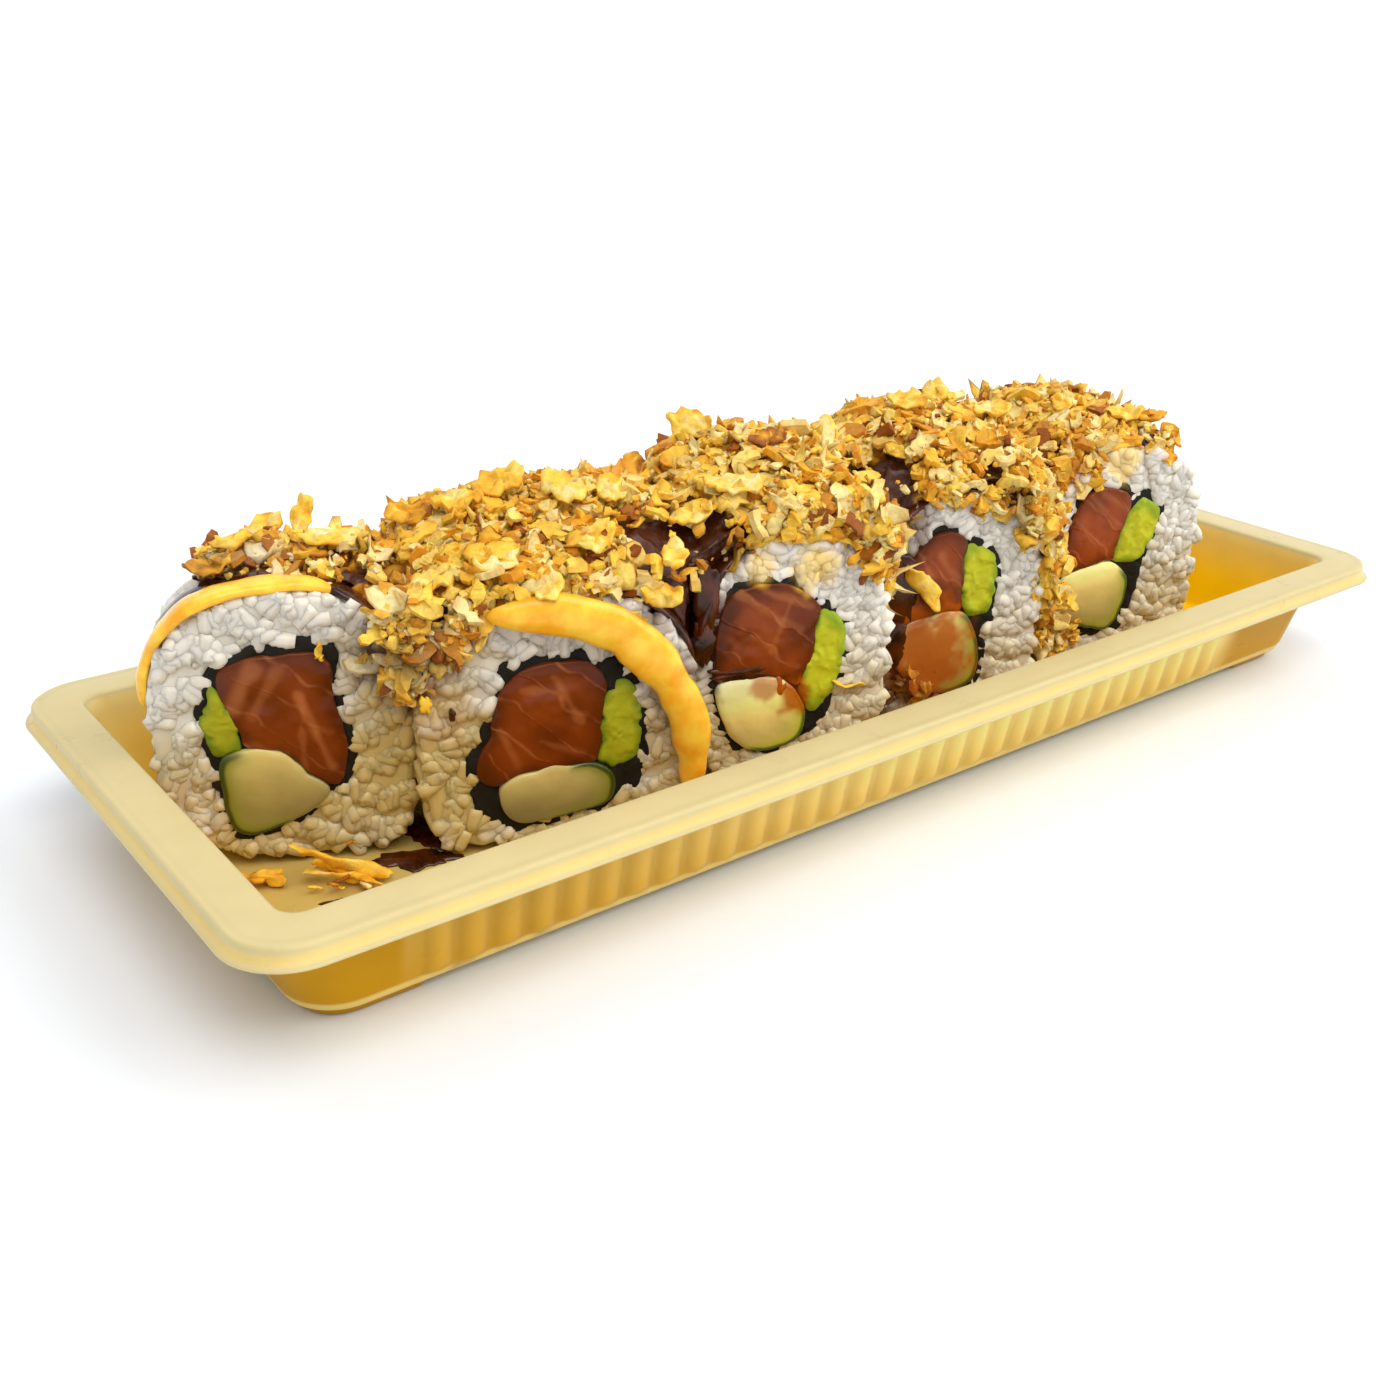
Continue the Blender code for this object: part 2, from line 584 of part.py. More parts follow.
def make_drizzles(frames, group, materials):
    """The band over the first roll's shoulder and the one down the second roll's face."""
    made = []
    roll = ROLLS[0]
    middle = np.array([(roll.left + roll.right) / 2.0, roll.height / 2.0])
    outline = rice_outline(roll)
    turns = np.radians(np.linspace(*DRIZZLE_1_TURNS, DRIZZLE_STEPS))
    seen = np.arctan2(outline[:, 1] - middle[1], outline[:, 0] - middle[0])
    order = np.argsort(seen)
    reach = np.interp(turns, seen[order], np.linalg.norm(outline - middle, axis=1)[order])
    places = middle + np.stack([np.cos(turns), np.sin(turns)], axis=1) * reach[:, None]
    along = np.gradient(places, axis=0)
    along /= np.linalg.norm(along, axis=1)[:, None]
    normals = np.stack([-along[:, 1], along[:, 0]], axis=1)
    places = places + normals * GAP * 2.0
    middles = [(u, DRIZZLE_1_BACK, w) for u, w in places]
    outward = [(a, 0.0, b) for a, b in normals]
    across = [(0.0, 1.0, 0.0)] * DRIZZLE_STEPS
    mesh = drizzle_mesh(middles, outward, across, DRIZZLE_1_WIDTH, DRIZZLE_1_HEIGHT)
    made.append(add_object("mayonnaise_1", mesh, group, materials["mayonnaise"], frames[0]))
    open_path = np.array(DRIZZLE_2_PATH)
    spread = np.linspace(0.0, len(open_path) - 1.0, DRIZZLE_STEPS)
    knots = np.arange(len(open_path))
    places = np.stack([np.interp(spread, knots, line) for line in open_path.T], axis=1)
    places[1:-1] = (places[:-2] + 2.0 * places[1:-1] + places[2:]) / 4.0
    along = np.gradient(places, axis=0)
    along /= np.linalg.norm(along, axis=1)[:, None]
    front = -FILLING_FRONT["cucumber"] - GAP
    middles = [(u, front, w) for u, w in places]
    outward = [(0.0, -1.0, 0.0)] * DRIZZLE_STEPS
    across = [(-b, 0.0, a) for a, b in along]
    mesh = drizzle_mesh(middles, outward, across, DRIZZLE_2_WIDTH, DRIZZLE_2_HEIGHT)
    made.append(add_object("mayonnaise_2", mesh, group, materials["mayonnaise"], frames[1]))
    return made


# Crispy onion

def heap_height(roll, u, share):
    """The heap's upper surface over a roll: the crest plus a layer that swells towards the back."""
    middle = (roll.left + roll.right) / 2.0
    half = (roll.right - roll.left) / 2.0
    roof = roll.height * (1.0 - SHOULDER_DIP * abs((u - middle) / half) ** 4)
    spread = (u - roll.left) / (roll.right - roll.left) * 2.0
    layer = float(np.interp(spread, (0.0, 1.0, 2.0), roll.heap_thickness))
    profile = 0.2 + 0.8 * math.sin(math.pi * min(1.0, 0.04 + share * 0.82))
    return roof + layer * profile


def heap_core(frames, rng):
    """The closed blanket under the loose pieces, laid over the five rolls column by column."""
    upper = []
    lower = []
    for number, (roll, frame) in enumerate(zip(ROLLS, frames), 1):
        for column, u in enumerate(np.linspace(*roll.heap_span, HEAP_COLUMNS)):
            last = column == HEAP_COLUMNS - 1
            in_valley = (number == 1 and last) or (number == 2 and column == 0)
            in_gap = (number == 4 and last) or (number == 5 and column == 0)
            row_up = []
            row_down = []
            for row in range(HEAP_ROWS):
                share = row / (HEAP_ROWS - 1)
                t = roll.heap_front + (roll.depth - 0.5 - roll.heap_front) * share + rng.uniform(-0.5, 0.5)
                w = heap_height(roll, u, share) - 0.8 + rng.uniform(-0.9, 0.9)
                row_up.append(frame.matrix_world @ (Vector((u, t, w)) * MM) / MM)
                bottom = HEAP_VALLEY if in_valley else HEAP_UNDERSIDE
                if in_gap:
                    bottom = HEAP_GAP_BOTTOM + (HEAP_VALLEY - HEAP_GAP_BOTTOM) * share ** 2
                row_down.append(frame.matrix_world @ (Vector((u, t, bottom)) * MM) / MM)
            upper.append(row_up)
            lower.append(row_down)
    rings = [up + down[::-1] for up, down in zip(upper, lower)]
    build, rows = loft(rings, closed=False)
    build.faces.new(rows[0])
    build.faces.new(rows[-1])
    bmesh.ops.triangulate(build, faces=build.faces)
    return mesh_from(build)


def chip_mesh(rng, length, width, thickness):
    """A curled flake: an uneven outline of few sides, bent along its length, thin at its edge."""
    angles = np.linspace(0.0, 2.0 * math.pi, CHIP_SIDES, endpoint=False)
    angles = angles + rng.uniform(-0.25, 0.25, CHIP_SIDES)
    reach = rng.uniform(0.72, 1.1, CHIP_SIDES)
    curl = rng.uniform(0.5, 1.6) * rng.choice((-1.0, 1.0))
    build = bmesh.new()
    sides = []
    for offset in (thickness * 0.3, -thickness * 0.3):
        row = []
        for angle, factor in zip(angles, reach):
            x = length / 2.0 * factor * math.cos(angle)
            y = width / 2.0 * factor * math.sin(angle)
            row.append(build.verts.new(Vector((x, y, curl * (2.0 * x / length) ** 2 + offset)) * MM))
        sides.append(row)
    swell = thickness * 0.6 * MM
    peaks = [build.verts.new((0.0, 0.0, offset)) for offset in (swell, -swell)]
    for step in range(CHIP_SIDES):
        after = (step + 1) % CHIP_SIDES
        build.faces.new((sides[0][step], sides[0][after], peaks[0]))
        build.faces.new((sides[1][after], sides[1][step], peaks[1]))
        build.faces.new((sides[0][after], sides[0][step], sides[1][step]))
        build.faces.new((sides[0][after], sides[1][step], sides[1][after]))
    return mesh_from(build)


def strip_mesh(rng, length, width, thickness):
    """A bent strip of four-sided section, from five stations along an arc."""
    stations = 5
    bend = rng.uniform(0.08, 0.22) * length * rng.choice((-1.0, 1.0))
    lift = rng.uniform(-0.1, 0.16) * length
    rings = []
    for index in range(stations):
        share = 2.0 * index / (stations - 1) - 1.0
        swell = 1.0 - 0.35 * share ** 2
        middle = Vector((length / 2.0 * share, bend * (1.0 - share ** 2), lift * (1.0 - share ** 2)))
        rings.append([middle + Vector((0.0, a * width / 2.0 * swell, b * thickness / 2.0 * swell))
                      for a, b in ((-1.0, -1.0), (1.0, -1.0), (1.0, 1.0), (-1.0, 1.0))])
    build, rows = loft(rings, closed=False)
    build.faces.new(rows[0])
    build.faces.new(rows[-1])
    bmesh.ops.triangulate(build, faces=build.faces)
    return mesh_from(build)


def place_piece(name, mesh, group, frame, roll, u, t, yaw, tilt, lift):
    """Lays a piece on the heap over one roll, turned and tilted."""
    share = min(max((t - roll.heap_front) / (roll.depth - roll.heap_front), 0.0), 1.0)
    spot = frame.matrix_world @ (Vector((u, t, heap_height(roll, u, share) - 0.6 + lift)) * MM)
    piece = add_object(name, mesh, group)
    turn = Matrix.Rotation(math.radians(yaw), 4, "Z") @ Matrix.Rotation(math.radians(tilt), 4, "Y")
    piece.matrix_world = Matrix.Translation(spot) @ turn
    return piece


def scatter_pieces(frames, group, rng):
    """Chips and strips over the heap: on an even grid over each roll, moved and sized at random."""
    for number, (roll, frame) in enumerate(zip(ROLLS, frames), 1):
        start, end = roll.heap_span
        rows = round(roll.depth / CHIP_PITCH)
        for column in range(CHIP_COLUMNS):
            for row in range(rows):
                u = start + (end - start) * (column + 0.5 + rng.uniform(-0.3, 0.3)) / CHIP_COLUMNS
                share = (row + 0.35 + rng.uniform(-0.3, 0.3)) / (rows - 0.3)
                t = roll.heap_front + (roll.depth - roll.heap_front) * share
                large = (column + 2 * row) % 4 == 0
                length = rng.uniform(6.5, 9.0) if large else rng.uniform(3.8, 6.0)
                if rng.uniform() < 0.6:
                    mesh = chip_mesh(rng, length, length * rng.uniform(0.55, 0.85), rng.uniform(1.2, 1.8))
                else:
                    mesh = strip_mesh(rng, length * 1.2, rng.uniform(1.6, 2.6), rng.uniform(1.2, 1.8))
                place_piece("piece_%d_%d_%d" % (number, column, row), mesh, group, frame, roll, u, t,
                            rng.uniform(0.0, 360.0), rng.uniform(-36.0, 36.0), rng.uniform(0.2, 1.4))
    for index, (kind, number, u, t, length, width, yaw, tilt, lift) in enumerate(LANDMARKS):
        roll = ROLLS[number - 1]
        if kind == "chip":
            mesh = chip_mesh(rng, length, width, 1.6)
        else:
            mesh = strip_mesh(rng, length, width, 1.8)
        place_piece("landmark_%d" % index, mesh, group, frames[number - 1], roll, u, t, yaw, tilt, lift)


def keep_largest(thing):
    """Drops every loose scrap and every sealed hollow: only the body with the most faces stays."""
    build = bmesh.new()
    build.from_mesh(thing.data)
    left = set(build.faces)
    bodies = []
    while left:
        body = {left.pop()}
        front = list(body)
        while front:
            face = front.pop()
            for edge in face.edges:
                for other in edge.link_faces:
                    if other in left:
                        left.discard(other)
                        body.add(other)
                        front.append(other)
        bodies.append(body)
    bodies.sort(key=len)
    scraps = [face for body in bodies[:-1] for face in body]
    bmesh.ops.delete(build, geom=scraps, context="FACES")
    build.to_mesh(thing.data)
    build.free()


def make_heap(frames, rooms, drizzles, group, cutters, material, rng):
    """The crispy onion: blanket and pieces made one, then cut clear of the rolls and drizzles."""
    heap = add_object("crispy_onion", heap_core(frames, rng), group, material)
    pieces = new_collection("pieces")
    scatter_pieces(frames, pieces, rng)
    join = heap.modifiers.new("join", "BOOLEAN")
    join.operation = "UNION"
    join.operand_type = "COLLECTION"
    join.collection = pieces
    join.solver = "EXACT"
    apply_modifiers(heap)
    for piece in list(pieces.objects):
        bpy.data.objects.remove(piece)
    bpy.data.collections.remove(pieces)
    for room in rooms:
        boolean(heap, room, "DIFFERENCE")
        apply_modifiers(heap)
    for drizzle in drizzles:
        room = add_object("room_" + drizzle.name, drizzle.data.copy(), cutters, parent=drizzle.parent)
        as_cutter(room)
        build = bmesh.new()
        build.from_mesh(room.data)
        build.normal_update()
        for vertex in build.verts:
            vertex.co += vertex.normal * (GAP * 1.4 * MM)
        build.to_mesh(room.data)
        build.free()
        boolean(heap, room, "DIFFERENCE")
        apply_modifiers(heap)
    keep_largest(heap)
    return heap


def make_fallen(group, material, rng):
    """The strips and crumbs of onion that fell on the tray's floor."""
    for number, (start, end, width, height) in enumerate(FALLEN, 1):
        way = Vector(end) - Vector(start)
        turn = way.to_track_quat("X", "Z").to_matrix().to_4x4()
        mesh = strip_mesh(rng, way.length, width, height)
        lowest = min((turn @ vertex.co).z for vertex in mesh.vertices)
        middle = (Vector(start) + Vector(end)) / 2.0 * MM
        middle.z = (FLOOR_TOP + GAP) * MM - lowest
        piece = add_object("fallen_onion_%d" % number, mesh, group, material)
        piece.matrix_world = Matrix.Translation(middle) @ turn


def main():
    """Builds the tray, the five rolls and what lies on them."""
    clear_scene()
    rng = np.random.default_rng(SEED)
    group = new_collection("takeaway_sushi_tray")
    cutters = new_collection("cutters")
    materials = make_materials()
    make_tray(group, materials["tray"])
    frames = []
    rooms = []
    for number, roll in enumerate(ROLLS, 1):
        frame = make_roll(number, roll, group, cutters, materials, rng)
        frames.append(frame)
        rooms.append(make_room(number, roll, cutters, frame))
    bpy.context.view_layer.update()
    press_together(group.objects["rice_1"], rooms[1])
    drizzles = make_drizzles(frames, group, materials)
    make_heap(frames, rooms, drizzles, group, cutters, materials["onion"], rng)
    make_fallen(group, materials["onion"], rng)


main()
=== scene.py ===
"""Looks of a takeaway sushi tray: real grains of rice, fillings, sauces and crispy onion in a moulded tray.

Metres, +Z up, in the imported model's own frame. Each roll has a frame of its own: u runs along its
cut face, t goes back from the face along the roll, and w is the height above the floor that the rolls
stand on. Tables of sizes are in millimetres, and the function place turns them into metres.
"""
import math
from typing import NamedTuple

import bpy
import numpy as np
from bpy.props import FloatProperty, FloatVectorProperty, IntProperty, PointerProperty
from mathutils import Matrix, Vector


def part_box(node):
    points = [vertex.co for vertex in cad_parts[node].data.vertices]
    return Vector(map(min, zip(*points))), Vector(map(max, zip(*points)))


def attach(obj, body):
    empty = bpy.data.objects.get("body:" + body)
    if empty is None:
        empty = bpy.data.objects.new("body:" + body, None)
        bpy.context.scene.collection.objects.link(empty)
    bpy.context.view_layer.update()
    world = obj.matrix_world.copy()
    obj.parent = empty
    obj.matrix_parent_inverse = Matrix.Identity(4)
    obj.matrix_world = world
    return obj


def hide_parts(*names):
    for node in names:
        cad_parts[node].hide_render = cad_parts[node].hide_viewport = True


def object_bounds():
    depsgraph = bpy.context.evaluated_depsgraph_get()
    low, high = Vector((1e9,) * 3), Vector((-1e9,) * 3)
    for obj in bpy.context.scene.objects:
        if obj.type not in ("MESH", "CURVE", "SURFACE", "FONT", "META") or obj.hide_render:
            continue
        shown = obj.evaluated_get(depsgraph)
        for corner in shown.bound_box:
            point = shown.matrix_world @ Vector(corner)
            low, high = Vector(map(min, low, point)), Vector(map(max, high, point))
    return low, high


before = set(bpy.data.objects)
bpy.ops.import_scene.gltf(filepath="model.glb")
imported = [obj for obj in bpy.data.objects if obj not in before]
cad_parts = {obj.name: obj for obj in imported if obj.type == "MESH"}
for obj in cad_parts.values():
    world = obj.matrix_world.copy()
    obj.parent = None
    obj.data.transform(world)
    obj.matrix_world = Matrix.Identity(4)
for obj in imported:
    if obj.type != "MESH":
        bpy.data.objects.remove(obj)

bl_info = {
    "name": "Takeaway sushi tray",
    "version": (1, 0, 0),
    "blender": (4, 5, 0),
    "location": "View3D > Sidebar > Sushi tray",
    "description": "Dresses the solids of a sushi tray with rice grains, fillings, sauces and crispy onion",
    "category": "Object",
}

CAD_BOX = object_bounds()
MM = 0.001
ROLL_BASE = 2.8


class Roll(NamedTuple):
    """One cut roll: its place on the floor, its sizes, and the onion over it, all in millimetres."""
    place: tuple
    turn: float
    depth: float
    left: float
    right: float
    height: float
    flatness: tuple
    skin_turn: float
    heap_span: tuple
    heap_front: float
    heap_thickness: tuple


ROLLS = (
    Roll((-84.0, 0.0), 24.0, 20.0, -20.4, 14.4, 39.4, (2.5, 5.0), 205.0, (-12.0, 12.6), 5.0, (0.4, 1.8, 3.4)),
    Roll((-54.0, -16.0), 20.0, 34.0, -19.9, 19.9, 37.2, (5.0, 3.6), -20.0, (-18.8, 19.4), 1.2, (6.6, 9.0, 10.4)),
    Roll((-19.3, -20.3), 20.0, 34.0, -12.4, 19.0, 39.6, (3.6, 3.6), -25.0, (-12.2, 18.6), 0.6, (9.6, 9.8, 9.8)),
    Roll((14.7, -20.3), 20.0, 34.0, -11.6, 19.4, 40.2, (3.6, 3.6), -20.0, (-11.4, 21.0), -0.2, (9.4, 9.6, 8.4)),
    Roll((57.7, -19.3), 18.0, 34.0, -12.2, 20.2, 41.0, (3.6, 3.6), -35.0, (-14.2, 11.5), 1.6, (6.0, 3.2, 2.2)),
)
CAMERA = {"place": (-0.154802, -0.174604, 0.111386), "yaw": 0.666532, "pitch": 0.430383, "roll": 0.0179719,
          "focal_pixels": 1511.39, "frame_pixels": 1400.0}
SHOULDER_DIP = 0.12
ROUND_TOP = 2.5
HIGHEST = CAD_BOX[1][2] - 0.0001


def linear(red, green, blue):
    """A colour read as 0 to 255 on a screen, as the linear light that a shader works with."""
    value = np.array([red, green, blue]) / 255.0
    return np.where(value <= 0.04045, value / 12.92, ((value + 0.055) / 1.055) ** 2.4)


# Settings that a user would change

def size_property(label, description, default):
    """A length in millimetres that shows its own unit in its description."""
    return FloatProperty(name=label, description=description + ", in millimetres", default=default, min=0.0)


def colour_property(label, description, *screen):
    """A colour with its default given as it looks on a screen."""
    return FloatVectorProperty(name=label, description=description, subtype="COLOR", size=3,
                               min=0.0, max=1.0, default=tuple(linear(*screen)))


class TrayLooks(bpy.types.PropertyGroup):
    """Sizes and colours of the moulded tray."""
    rib_depth: size_property("Rib depth", "How far each rib stands out of the long walls", 0.8)
    rib_pitch: size_property("Rib pitch", "Distance from rib to rib", 5.0)
    # The tints are lit and shaded copies of one plastic, which paint its light and shade: a pale rim, a saturated outer
    # wall, a darker inner floor, darker corners still, and an orange glow on the inner walls.
    rim_colour: colour_property("Rim", "Colour of the flat rim", 206, 192, 144)
    wall_colour: colour_property("Outer wall", "Colour of the ribbed outside", 246, 214, 124)
    floor_colour: colour_property("Inner floor", "Colour of the floor inside", 202, 176, 100)
    corner_shade_colour: colour_property("Outer corners", "Colour of the smooth outside round the corners", 194, 142, 0)
    inside_glow_colour: colour_property("Inside", "Colour of the inner walls", 255, 204, 0)


class RiceLooks(bpy.types.PropertyGroup):
    """Sizes and colours of the rice."""
    grain_length: size_property("Grain length", "Length of one cooked grain", 5.0)
    grain_width: size_property("Grain width", "Width of one cooked grain", 2.35)
    side_grains: IntProperty(name="Grains on the side", description="Grains over one roll's outside", default=900)
    face_grains: IntProperty(name="Grains on a face", description="Grains over one cut face", default=230)
    colour: colour_property("Rice", "Colour of clean rice", 240, 235, 225)


class FillingLooks(bpy.types.PropertyGroup):
    """Colours of what the rolls hold."""
    salmon_colour: colour_property("Salmon", "Colour of the fish", 140, 60, 14)
    fat_colour: colour_property("Marbling", "Colour of the fat lines in the fish", 206, 130, 78)
    avocado_colour: colour_property("Avocado", "Colour of the ripe flesh", 160, 162, 26)
    avocado_rim_colour: colour_property("Avocado rim", "Colour of the flesh near its skin", 98, 126, 18)
    cucumber_colour: colour_property("Cucumber", "Colour of the flesh", 214, 196, 124)
    skin_colour: colour_property("Cucumber skin", "Colour of the skin", 60, 84, 12)
    nori_colour: colour_property("Nori", "Colour of the damp seaweed", 20, 16, 12)


class SauceLooks(bpy.types.PropertyGroup):
    """Colours of the sauces."""
    mayonnaise_colour: colour_property("Spicy mayonnaise", "Colour of the thick sauce", 254, 208, 70)
    glaze_colour: colour_property("Glaze", "Colour of the dark sweet glaze", 84, 36, 12)
    stain_colour: colour_property("Stain", "Colour of rice that thin sauce has soaked into", 202, 180, 118)
    oil_colour: colour_property("Thin sauce", "Colour of what runs out of the sauces", 186, 92, 12)


class OnionLooks(bpy.types.PropertyGroup):
    """Sizes, numbers and colours of the crispy onion."""
    flakes: IntProperty(name="Flakes", description="Number of flat curled flakes", default=1500)
    strips: IntProperty(name="Strips", description="Number of thin curled strips", default=1900)
    crumbs: IntProperty(name="Crumbs", description="Number of crumbs of each size", default=3600)
    pale_colour: colour_property("Pale", "Colour of the lightest flakes", 250, 230, 160)
    gold_colour: colour_property("Gold", "Colour of most pieces", 252, 212, 76)
    amber_colour: colour_property("Amber", "Colour of well fried pieces", 240, 172, 36)
    brown_colour: colour_property("Brown", "Colour of the darkest pieces", 156, 86, 18)


class StageLooks(bpy.types.PropertyGroup):
    """The floor under the tray and the strength of the lights."""
    floor_colour: colour_property("Floor", "Colour of the studio floor", 234, 241, 252)
    key_power: FloatProperty(name="Key light", description="Strength of the main soft light", default=1.45)
    fill_power: FloatProperty(name="Fill light", description="Strength of the filling light", default=1.6)
    sky_strength: FloatProperty(name="Surround", description="Strength of the even light all round", default=0.6)


# Shapes as whole arrays

def place(roll, u, t, w):
    """World points of u, t, w: the roll's place plus u and t, turned about the upright axis by its turn."""
    angle = math.radians(roll.turn)
    x = roll.place[0] + u * math.cos(angle) + t * math.sin(angle)
    y = roll.place[1] - u * math.sin(angle) + t * math.cos(angle)
    return np.stack(np.broadcast_arrays(x, y, ROLL_BASE + w), axis=-1) * MM


def within(roll, points):
    """The u, t, w of world points: what place does, the other way round."""
    angle = math.radians(roll.turn)
    x, y, z = (np.moveaxis(points, -1, 0) / MM) - np.array([roll.place[0], roll.place[1], ROLL_BASE]).reshape(
        (3,) + (1,) * (points.ndim - 1))
    return x * math.cos(angle) - y * math.sin(angle), x * math.sin(angle) + y * math.cos(angle), z


def noise(points, size, seed=0):
    """Smooth noise from -1 to 1: random numbers on a lattice of that size, blended by 3f^2 - 2f^3 on each axis."""
    spot = points / size + seed * 7.31
    cell = np.floor(spot)
    part = spot - cell
    part = part * part * (3.0 - 2.0 * part)
    total = np.zeros(points.shape[:-1])
    for corner in np.ndindex(2, 2, 2):
        wave = np.sin((cell + corner) @ np.array([12.9898, 78.233, 37.719])) * 43758.5453
        value = 2.0 * (wave - np.floor(wave)) - 1.0
        total += value * np.prod(np.where(np.array(corner) == 1, part, 1.0 - part), axis=-1)
    return total


def wobble(points, size, amount, seed=0):
    """A shift for each point, with smooth noise on each of its three axes."""
    return np.stack([noise(points, size, seed + axis) for axis in range(3)], axis=-1) * amount


def smoothstep(low, high, value):
    """0 below low, 1 above high and 3x^2 - 2x^3 between them."""
    share = np.clip((value - low) / (high - low), 0.0, 1.0)
    return share * share * (3.0 - 2.0 * share)


def mixed(first, second, share):
    """Colours between two, by a share for each point."""
    return first + (second - first) * share[..., None]


def outward(points, faces):
    """The faces turned to look outward: reversed where the volume they enclose comes out negative."""
    volume = 0.0
    for group in faces:
        first = points[group[:, 0]]
        for step in range(1, group.shape[1] - 1):
            cross = np.cross(points[group[:, step]], points[group[:, step + 1]])
            volume += np.sum(first * cross)
    return faces if volume > 0.0 else [group[:, ::-1] for group in faces]


def loft(rings, looped=False):
    """Closed skin over a (rows, count, 3) array of closed rings: quads between rows, and at each end a fan
    to the ring's middle. A looped one joins its last ring to its first instead."""
    rows, count = rings.shape[:2]
    index = np.arange(rows * count).reshape(rows, count)
    after = np.roll(index, -1, axis=1)
    points = rings.reshape(-1, 3)
    if looped:
        below, below_after = np.roll(index, -1, axis=0), np.roll(after, -1, axis=0)
        faces = [np.stack([index, after, below_after, below], axis=-1).reshape(-1, 4)]
    else:
        quads = np.stack([index[:-1], after[:-1], after[1:], index[1:]], axis=-1).reshape(-1, 4)
        ends = rows * count + np.array([0, 1])
        points = np.concatenate([points, rings[:1].mean(axis=1), rings[-1:].mean(axis=1)])
        near = np.stack([after[0], index[0], np.full(count, ends[0])], axis=-1)
        far = np.stack([index[-1], after[-1], np.full(count, ends[1])], axis=-1)
        faces = [quads, np.concatenate([near, far])]
    return points, outward(points, faces)


def with_ends(values, rows):
    """Values of a loft's grid of points, followed by those of its two end middles."""
    grid = values.reshape((rows, -1) + values.shape[2:])
    return np.concatenate([grid.reshape((-1,) + values.shape[2:]), grid[:1].mean(axis=1), grid[-1:].mean(axis=1)])


def joined(parts):
    """One set of points and faces from several."""
    points = np.concatenate([part[0] for part in parts])
    starts = np.cumsum([0] + [len(part[0]) for part in parts])
    faces = [group + start for part, start in zip(parts, starts) for group in part[1]]
    return points, faces


def add_piece(name, points, faces, material, tint=None, wet=None, uv=None, replaces=(), smooth=True):
    """Puts points and faces in the scene as a smooth piece that rides on the part's one body.

    tint is a colour, wet a number and uv a pair for each point, which its material reads.
    """
    mesh = bpy.data.meshes.new(name)
    corners = np.concatenate([group.ravel() for group in faces]).astype(np.int32)
    sizes = np.concatenate([np.full(len(group), group.shape[1]) for group in faces])
    starts = np.concatenate([[0], np.cumsum(sizes)[:-1]]).astype(np.int32)
    mesh.vertices.add(len(points))
    mesh.vertices.foreach_set("co", np.ascontiguousarray(points, np.float32).ravel())
    mesh.loops.add(len(corners))
    mesh.polygons.add(len(sizes))
    mesh.polygons.foreach_set("loop_start", starts)
    mesh.polygons.foreach_set("vertices", corners)
    mesh.polygons.foreach_set("use_smooth", np.full(len(sizes), smooth))
    mesh.update(calc_edges=True)
    mesh.validate()
    if tint is not None:
        colours = np.concatenate([np.broadcast_to(tint, (len(points), 3)), np.ones((len(points), 1))], axis=1)
        mesh.attributes.new("tint", "FLOAT_COLOR", "POINT").data.foreach_set(
            "color", np.ascontiguousarray(colours, np.float32).ravel())
    if wet is not None:
        wetness = np.ascontiguousarray(np.broadcast_to(wet, len(points)), np.float32)
        mesh.attributes.new("wet", "FLOAT", "POINT").data.foreach_set("value", wetness)
    if uv is not None:
        mesh.uv_layers.new(name="face").data.foreach_set("uv", np.ascontiguousarray(uv[corners], np.float32).ravel())
    mesh.materials.append(material)
    thing = bpy.data.objects.new(name, mesh)
    bpy.context.scene.collection.objects.link(thing)
    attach(thing, "root")
    if replaces:
        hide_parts(*replaces)
    return thing


# Shader maths

class Wire:
    """A socket of a shader that adds and multiplies like a number, each time through a Math node."""

    def __init__(self, graph, socket):
        self.graph = graph
        self.socket = socket

    def __add__(self, other):
        return self.graph.maths("ADD", self, other)

    def __radd__(self, other):
        return self.graph.maths("ADD", other, self)

    def __sub__(self, other):
        return self.graph.maths("SUBTRACT", self, other)

    def __rsub__(self, other):
        return self.graph.maths("SUBTRACT", other, self)

    def __mul__(self, other):
        return self.graph.maths("MULTIPLY", self, other)

    def __rmul__(self, other):
        return self.graph.maths("MULTIPLY", other, self)

    def __truediv__(self, other):
        return self.graph.maths("DIVIDE", self, other)

    def __pow__(self, other):
        return self.graph.maths("POWER", self, other)


